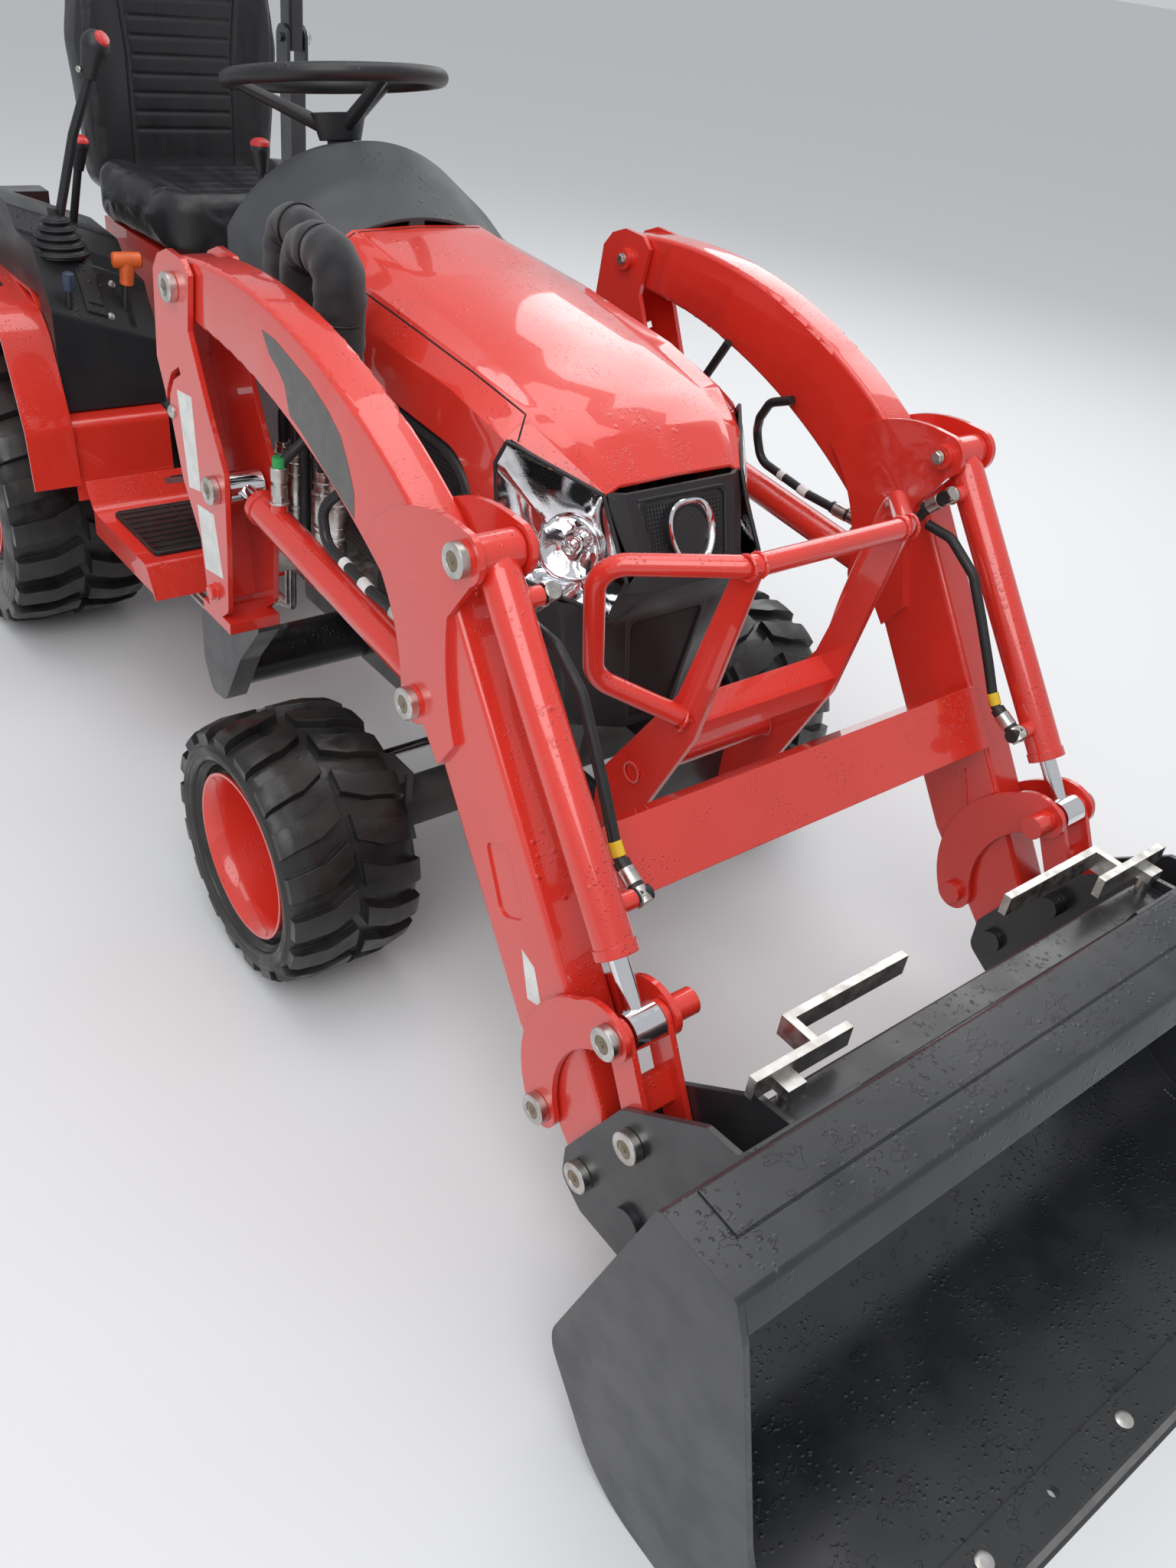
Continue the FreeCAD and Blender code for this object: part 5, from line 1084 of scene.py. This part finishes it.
def seat():
    back = soft_pad("seat_back_pad", "seat_back", Vector((1, 0, 0)), back_shape)
    base = soft_pad("seat_cushion_pad", "seat_cushion", Vector((0, 0, 1)), cushion_shape)
    thread = Batch("seat_stitching", "chassis", "seat_vinyl", "thread")
    for side in SIDES:
        for offset in (-6.5, 6.5):
            seam = BACK_SEAM + offset
            up = [at(-1300, side * (seam + 0.10 * max(0, z - 1200)), z) for z in range(960, 1376, 4)]
            stitched(thread, laid_on(back, up, (-1, 0, 0)))
            run = [at(x, side * (CUSHION_SEAM_Y + offset), 1200) for x in range(-1430, CUSHION_SEAM_X - 4, 4)]
            stitched(thread, laid_on(base, run, (0, 0, -1)))
    for offset in (-6, 6):
        arch = [at(-1300, y, 1388 - 0.0011 * y * y + offset) for y in range(-126, 127, 4)]
        stitched(thread, laid_on(back, arch, (-1, 0, 0)))
        front = [at(CUSHION_SEAM_X - 0.0009 * y * y + offset, y, 1200) for y in range(-190, 191, 4)]
        stitched(thread, laid_on(base, front, (0, 0, -1)))
    thread.done()


def lever_trim():
    """Coloured grips, the boot's folds, painted shade for the slots, and the small parts on the right console.
    """
    orange = Batch("tee_grip", "chassis", "black_plastic", "orange_grip")
    along = (at(-1070, -272, 884) - at(-1080, -325, 884)).normalized()
    start = at(-1080, -325, 884)
    orange.turned(start, along, [(-3, 8), (-2, 12), (1, 15), (27, 16), (52, 15), (55, 12), (56.5, 8)], 24)
    stem = (at(-1075, -299, 880) - at(-1078, -302, 838)).normalized()
    orange.turned(at(-1078, -302, 838), stem, [(-2, 11), (0, 13.6), (24, 14.6), (42, 16)], 20)
    orange.done()
    red = Batch("knob_tops", "chassis", "black_plastic", "red_knob")
    red.turned(at(-870, -104, 1126), (0, 0, 1), [(6, 18.4), (10, 18.2), (14, 16), (17, 11), (18.6, 5)], 28)
    red.turned(at(-1252, -308, 1060), (0.17, 0.07, 1), [(7, 17.4), (11, 16.6), (15, 12.6), (17.6, 6)], 24)
    face = (at(-1068, -325, 1258) - at(-1080, -337, 1205)).normalized()
    tilted = (face + Vector((0.9, 0.35, 0))).normalized()
    red.turned(at(-1068, -325, 1258), tilted, [(21, 15), (25.6, 13), (27.4, 8), (27.8, 3)], 24)
    red.done()
    slate = Batch("stub_cap", "chassis", "black_plastic", "slate_cap")
    cap = [(-1, 11.2), (2, 12.4), (24, 12.0), (31, 10.6), (34, 6)]
    slate.turned(at(-1062, -423, 838), (3, 1, 30), cap, 24)
    slate.done()
    small = Batch("console_screws", "chassis", "zinc")
    console = Skin("consoles")
    for x, y in ((-1108, -322), (-1066, -344), (-1190, -352)):
        hit, normal = console.seen(at(x, y, 1100), (0, 0, -1))
        if hit:
            small.turned(hit, normal, [(-0.4, 7.5), (1.2, 7.5), (1.6, 5.4), (3.2, 4.8), (4.0, 2.4)], 16)
    small.turned(at(-1085, -341, 1216), (0.5, -0.85, 0.1), [(12, 5.5), (20, 5.5), (20.8, 4.4)], 14)
    small.done()
    # painted shade: a near-black band on the console where its slots are
    dark = Batch("console_slot_painted_shade", "chassis", "black_plastic", "gap_painted_shade")
    line = [at(x, y, 1100) for x, y in ((-1180, -294), (-1140, -297), (-1100, -299), (-1060, -301))]
    laid = console.line(spread(line, 0.01))
    if len(laid) > 2:
        dark.ribbon(laid, 13, 0.5)
    dark.done()
    trim = Batch("console_trim", "chassis", "black_plastic")
    corners = ((-1128, -392), (-1062, -392), (-1062, -352), (-1128, -352))
    found = console.line([at(x, y, 1100) for x, y in corners])
    block, up = [hit for hit, _ in found], found[-1][1]
    trim.plate(block, up, 6)
    centre = sum(block, Vector()) / 4
    trim.plate([centre + (p - centre) * 0.72 + up * 0.006 for p in block], up, 4)
    for i in range(5):
        fold = circle(at(-1150, -405, 889 + 14 * i), EAST, NORTH, (58 - 8 * i) / 1000, 32)
        trim.tube(fold, 2.8, 8, closed=True)
    trim.done()


def dash_trim():
    """Instruments behind the wheel."""
    face = Skin("steering_column")
    dials = Batch("dial_rims", "chassis", "chrome")
    marks = Batch("dial_marks", "chassis", "black_plastic", "white_label")
    plates = Batch("dial_faces", "chassis", "black_plastic")
    for y, size in ((0, 34), (-62, 20), (62, 20)):
        hit, normal = face.seen(at(-1200, y, 1110), (1, 0, 0))
        if hit is None:
            continue
        plates.turned(hit, normal, [(-0.4, size), (1.0, size)], 40)
        bezel = [(-0.4, size + 3), (3.2, size + 3), (4.0, size + 1.6), (3.2, size), (1.2, size)]
        dials.turned(hit, normal, bezel, 40)
        one = Vector((0, 1, 0))
        two = normal.cross(one)
        for k in range(9):
            turn = math.radians(-30 + 240 * k / 8)
            ray = one * math.cos(turn) + two * math.sin(turn)
            raised = hit + normal * 0.0014
            marks.tube([raised + ray * (size * share / 1000) for share in (0.70, 0.9)], 0.8, 6)
        ray = one * math.cos(2.2) + two * math.sin(2.2)
        marks.tube([hit + normal * 0.002, hit + normal * 0.002 + ray * (size * 0.72 / 1000)], 0.9, 6)
    for batch in (dials, marks, plates):
        batch.done()


def floor_trim():
    """Ribs and a border on the floor mats, and ribs on the pedals."""
    ribs = Batch("mat_ribs", "chassis", "rubber")
    for side in SIDES:
        for y0, y1 in ((196, 306), (312, 420)):
            for i in range(9):
                x = -922 + 24.5 * i
                corners = ((x, y0, 426), (x + 9, y0, 426), (x + 9, y1, 426), (x, y1, 426))
                ribs.plate(mirrored(corners, side), (0, 0, 1), 1.8)
        edge = rounded(mirrored([(-927, 193, 426), (-927, 423, 426), (-718, 423, 426), (-718, 193, 426),
                                 (-927, 193, 426)], side), 0.012)
        ribs.tube(edge, 3.0, 8)
    ribs.done()
    pads = Batch("pedal_ribs", "chassis", "rubber")
    for side in SIDES:
        skin = Skin("pedals")
        for i in range(7):
            x = -842 + 15 * i
            line = [at(x, side * y, 700) for y in range(268, 337, 8)]
            laid = skin.line(line)
            if len(laid) > 2:
                pads.ribbon(laid, 6, 2)
    pads.done()


def fender_grips():
    """Black ridged strips on top of the fenders."""
    skin = Skin("fenders")
    strip = Batch("fender_grips", "chassis", "rubber")
    for side in SIDES:
        for y in (505, 516, 527, 538):
            line = [at(x, side * y, 1000) for x in range(-1700, -1219, 12)]
            laid = skin.line(line)
            if len(laid) > 3:
                strip.ribbon(laid, 7.5, 2.2)
    strip.done()


# Loader

WEDGE = (
    (-99, 1048), (-61, 1046), (-17, 1035), (40, 1020), (88, 999), (122, 977), (143, 946), (160, 911),
    (161, 876), (123, 893), (67, 918), (16, 942), (-20, 954), (-27, 973), (-34, 992), (-52, 1007),
    (-78, 1020),
)


MAST_LABELS = (
    ((-383, 872), (-328, 878), (-313, 728), (-358, 718)),
    ((-330, 700), (-267, 707), (-243, 604), (-311, 592)),
)
BOOM_LABEL = ((610, 462), (640, 452), (664, 400), (634, 392))


def loader_trim():
    """Bare decals and label strips on the boom and the masts."""
    wedge = Batch("boom_wedges", "boom", "charcoal_plastic", "dark_decal")
    skin = Skin("boom")
    for side in SIDES:
        outline = skin.outline(WEDGE, side)
        if len(outline) > 8:
            wedge.plate(outline, (0, side, 0), 0.35)
    wedge.done()
    label = Batch("mast_labels", "chassis", "charcoal_plastic", "white_label")
    masts = Skin("masts")
    for side in SIDES:
        for corners in MAST_LABELS:
            outline = masts.outline(corners, side)
            if len(outline) == 4:
                label.plate(outline, (0, side, 0), 0.3)
    label.done()
    plain = Batch("boom_labels", "boom", "charcoal_plastic", "white_label")
    for side in SIDES:
        outline = skin.outline(BOOM_LABEL, side)
        if len(outline) == 4:
            plain.plate(outline, (0, side, 0), 0.3)
    plain.done()


def weld(batch, points, radius, seed):
    """A bead with the ripples of a weld along points in metres."""
    dice = random.Random(seed)
    fine = spread(points, 0.0022)
    batch.tube(fine, lambda i: radius * (1 + 0.16 * math.sin(i * 1.9) + 0.06 * dice.random()), 7)


# Places on the guard's bars and the bars' directions there
GUARD_WELDS = (
    ((574, 158, 927), (0, 1, 0)), ((574, 138, 927), (0, 1, 0)), ((506, 150, 659), (-76, 118, 59)),
)


def around_bar(place, axis, radius, count=28):
    axis = Vector(axis).normalized()
    one = axis.orthogonal().normalized()
    two = axis.cross(one)
    ring = circle(place, one, two, radius, count)
    return ring + ring[:1]


def welds():
    guard = Batch("guard_welds", "chassis", "red_paint")
    seed = 1
    for side in SIDES:
        for (x, y, z), axis in GUARD_WELDS:
            weld(guard, around_bar(at(x, side * y, z), (axis[0], side * axis[1], axis[2]), 0.0158), 2.6, seed)
            seed += 1
        for y in (135, 149):
            weld(guard, around_bar(at(423, side * y, 517), (0, 1, 0), 0.0158), 2.6, seed)
            seed += 1
    guard.done()
    boom = Batch("boom_welds", "boom", "red_paint")
    skin = Skin("boom")
    for side in SIDES:
        line = [at(701 - 0.45 * (z - 330), side * 398, z) for z in range(330, 480, 10)]
        laid = skin.points(line, (0, side, 0))
        if len(laid) > 3:
            weld(boom, laid, 2.6, seed)
        seed += 1
    boom.done()


BUCKET_REACH = 1447
BUCKET_W = 1274


def bucket_trim():
    """Bolts of the cutting edge, and a worn bright band along it."""
    skin = Skin("bucket")
    bolts = Batch("edge_bolts", "bucket", "zinc")
    for i in range(-2, 3):
        place = at(BUCKET_REACH - 47, i * (BUCKET_W + 34) / 4 * 0.94, 200)
        hit, normal = skin.seen(place, (0, 0, -1))
        if hit:
            bolts.turned(hit, normal, [(-0.4, 13), (1.2, 13), (2.4, 10.5), (2.8, 5)], 24)
    bolts.done()
    worn = Batch("edge_wear", "bucket", "black_paint", "worn_steel")
    line = [at(BUCKET_REACH - 9, y, 120) for y in range(-628, 629, 6)]
    worn.ribbon(skin.line(line), 10, 0.25)
    worn.done()
    cap = Batch("bucket_top_strip", "bucket", "black_paint")
    cap.ribbon(skin.line([at(1088, y, 700) for y in range(-590, 591, 10)]), 58, 2.6)
    cap.done()
    weld_line = Batch("bucket_welds", "bucket", "black_paint")
    for x in (1059, 1117.5):
        weld(weld_line, skin.points([at(x, y, 700) for y in range(-590, 591, 12)]), 1.7, x)
    for side in SIDES:
        laid = skin.points([at(1100 + i * 6, side * 600, 400) for i in range(44)])
        if len(laid) > 3:
            weld(weld_line, laid, 3.0, 40 + side)
    weld_line.done()


def rops_trim():
    """Pins with rings through the folding joint, and bolt heads beside them."""
    fold_pins = Batch("rops_pins", "chassis", "zinc")
    for side in SIDES:
        out = (0, side, 0)
        hexagon(fold_pins, at(-1735, side * 440, 1210), out, 26, 12)
        fold_pins.turned(at(-1735, side * 433, 1162), out, [(-0.4, 15), (2, 15), (3, 9), (9, 9), (10, 7)], 20)
        ring = around_bar(at(-1735, side * 446, 1150), (1, 0, 0.2), 0.012, 20)
        fold_pins.tube(ring, 1.6, 6)
    fold_pins.done()


camera()
studio()
MATERIALS = make_materials()
dress()
pins()
wheel_bolts()
hood_seam_painted_shade()
lamps()
nose_trim()
hose_trim()
sleeves()
couplers()
seat()
lever_trim()
dash_trim()
floor_trim()
fender_grips()
loader_trim()
welds()
bucket_trim()
rops_trim()
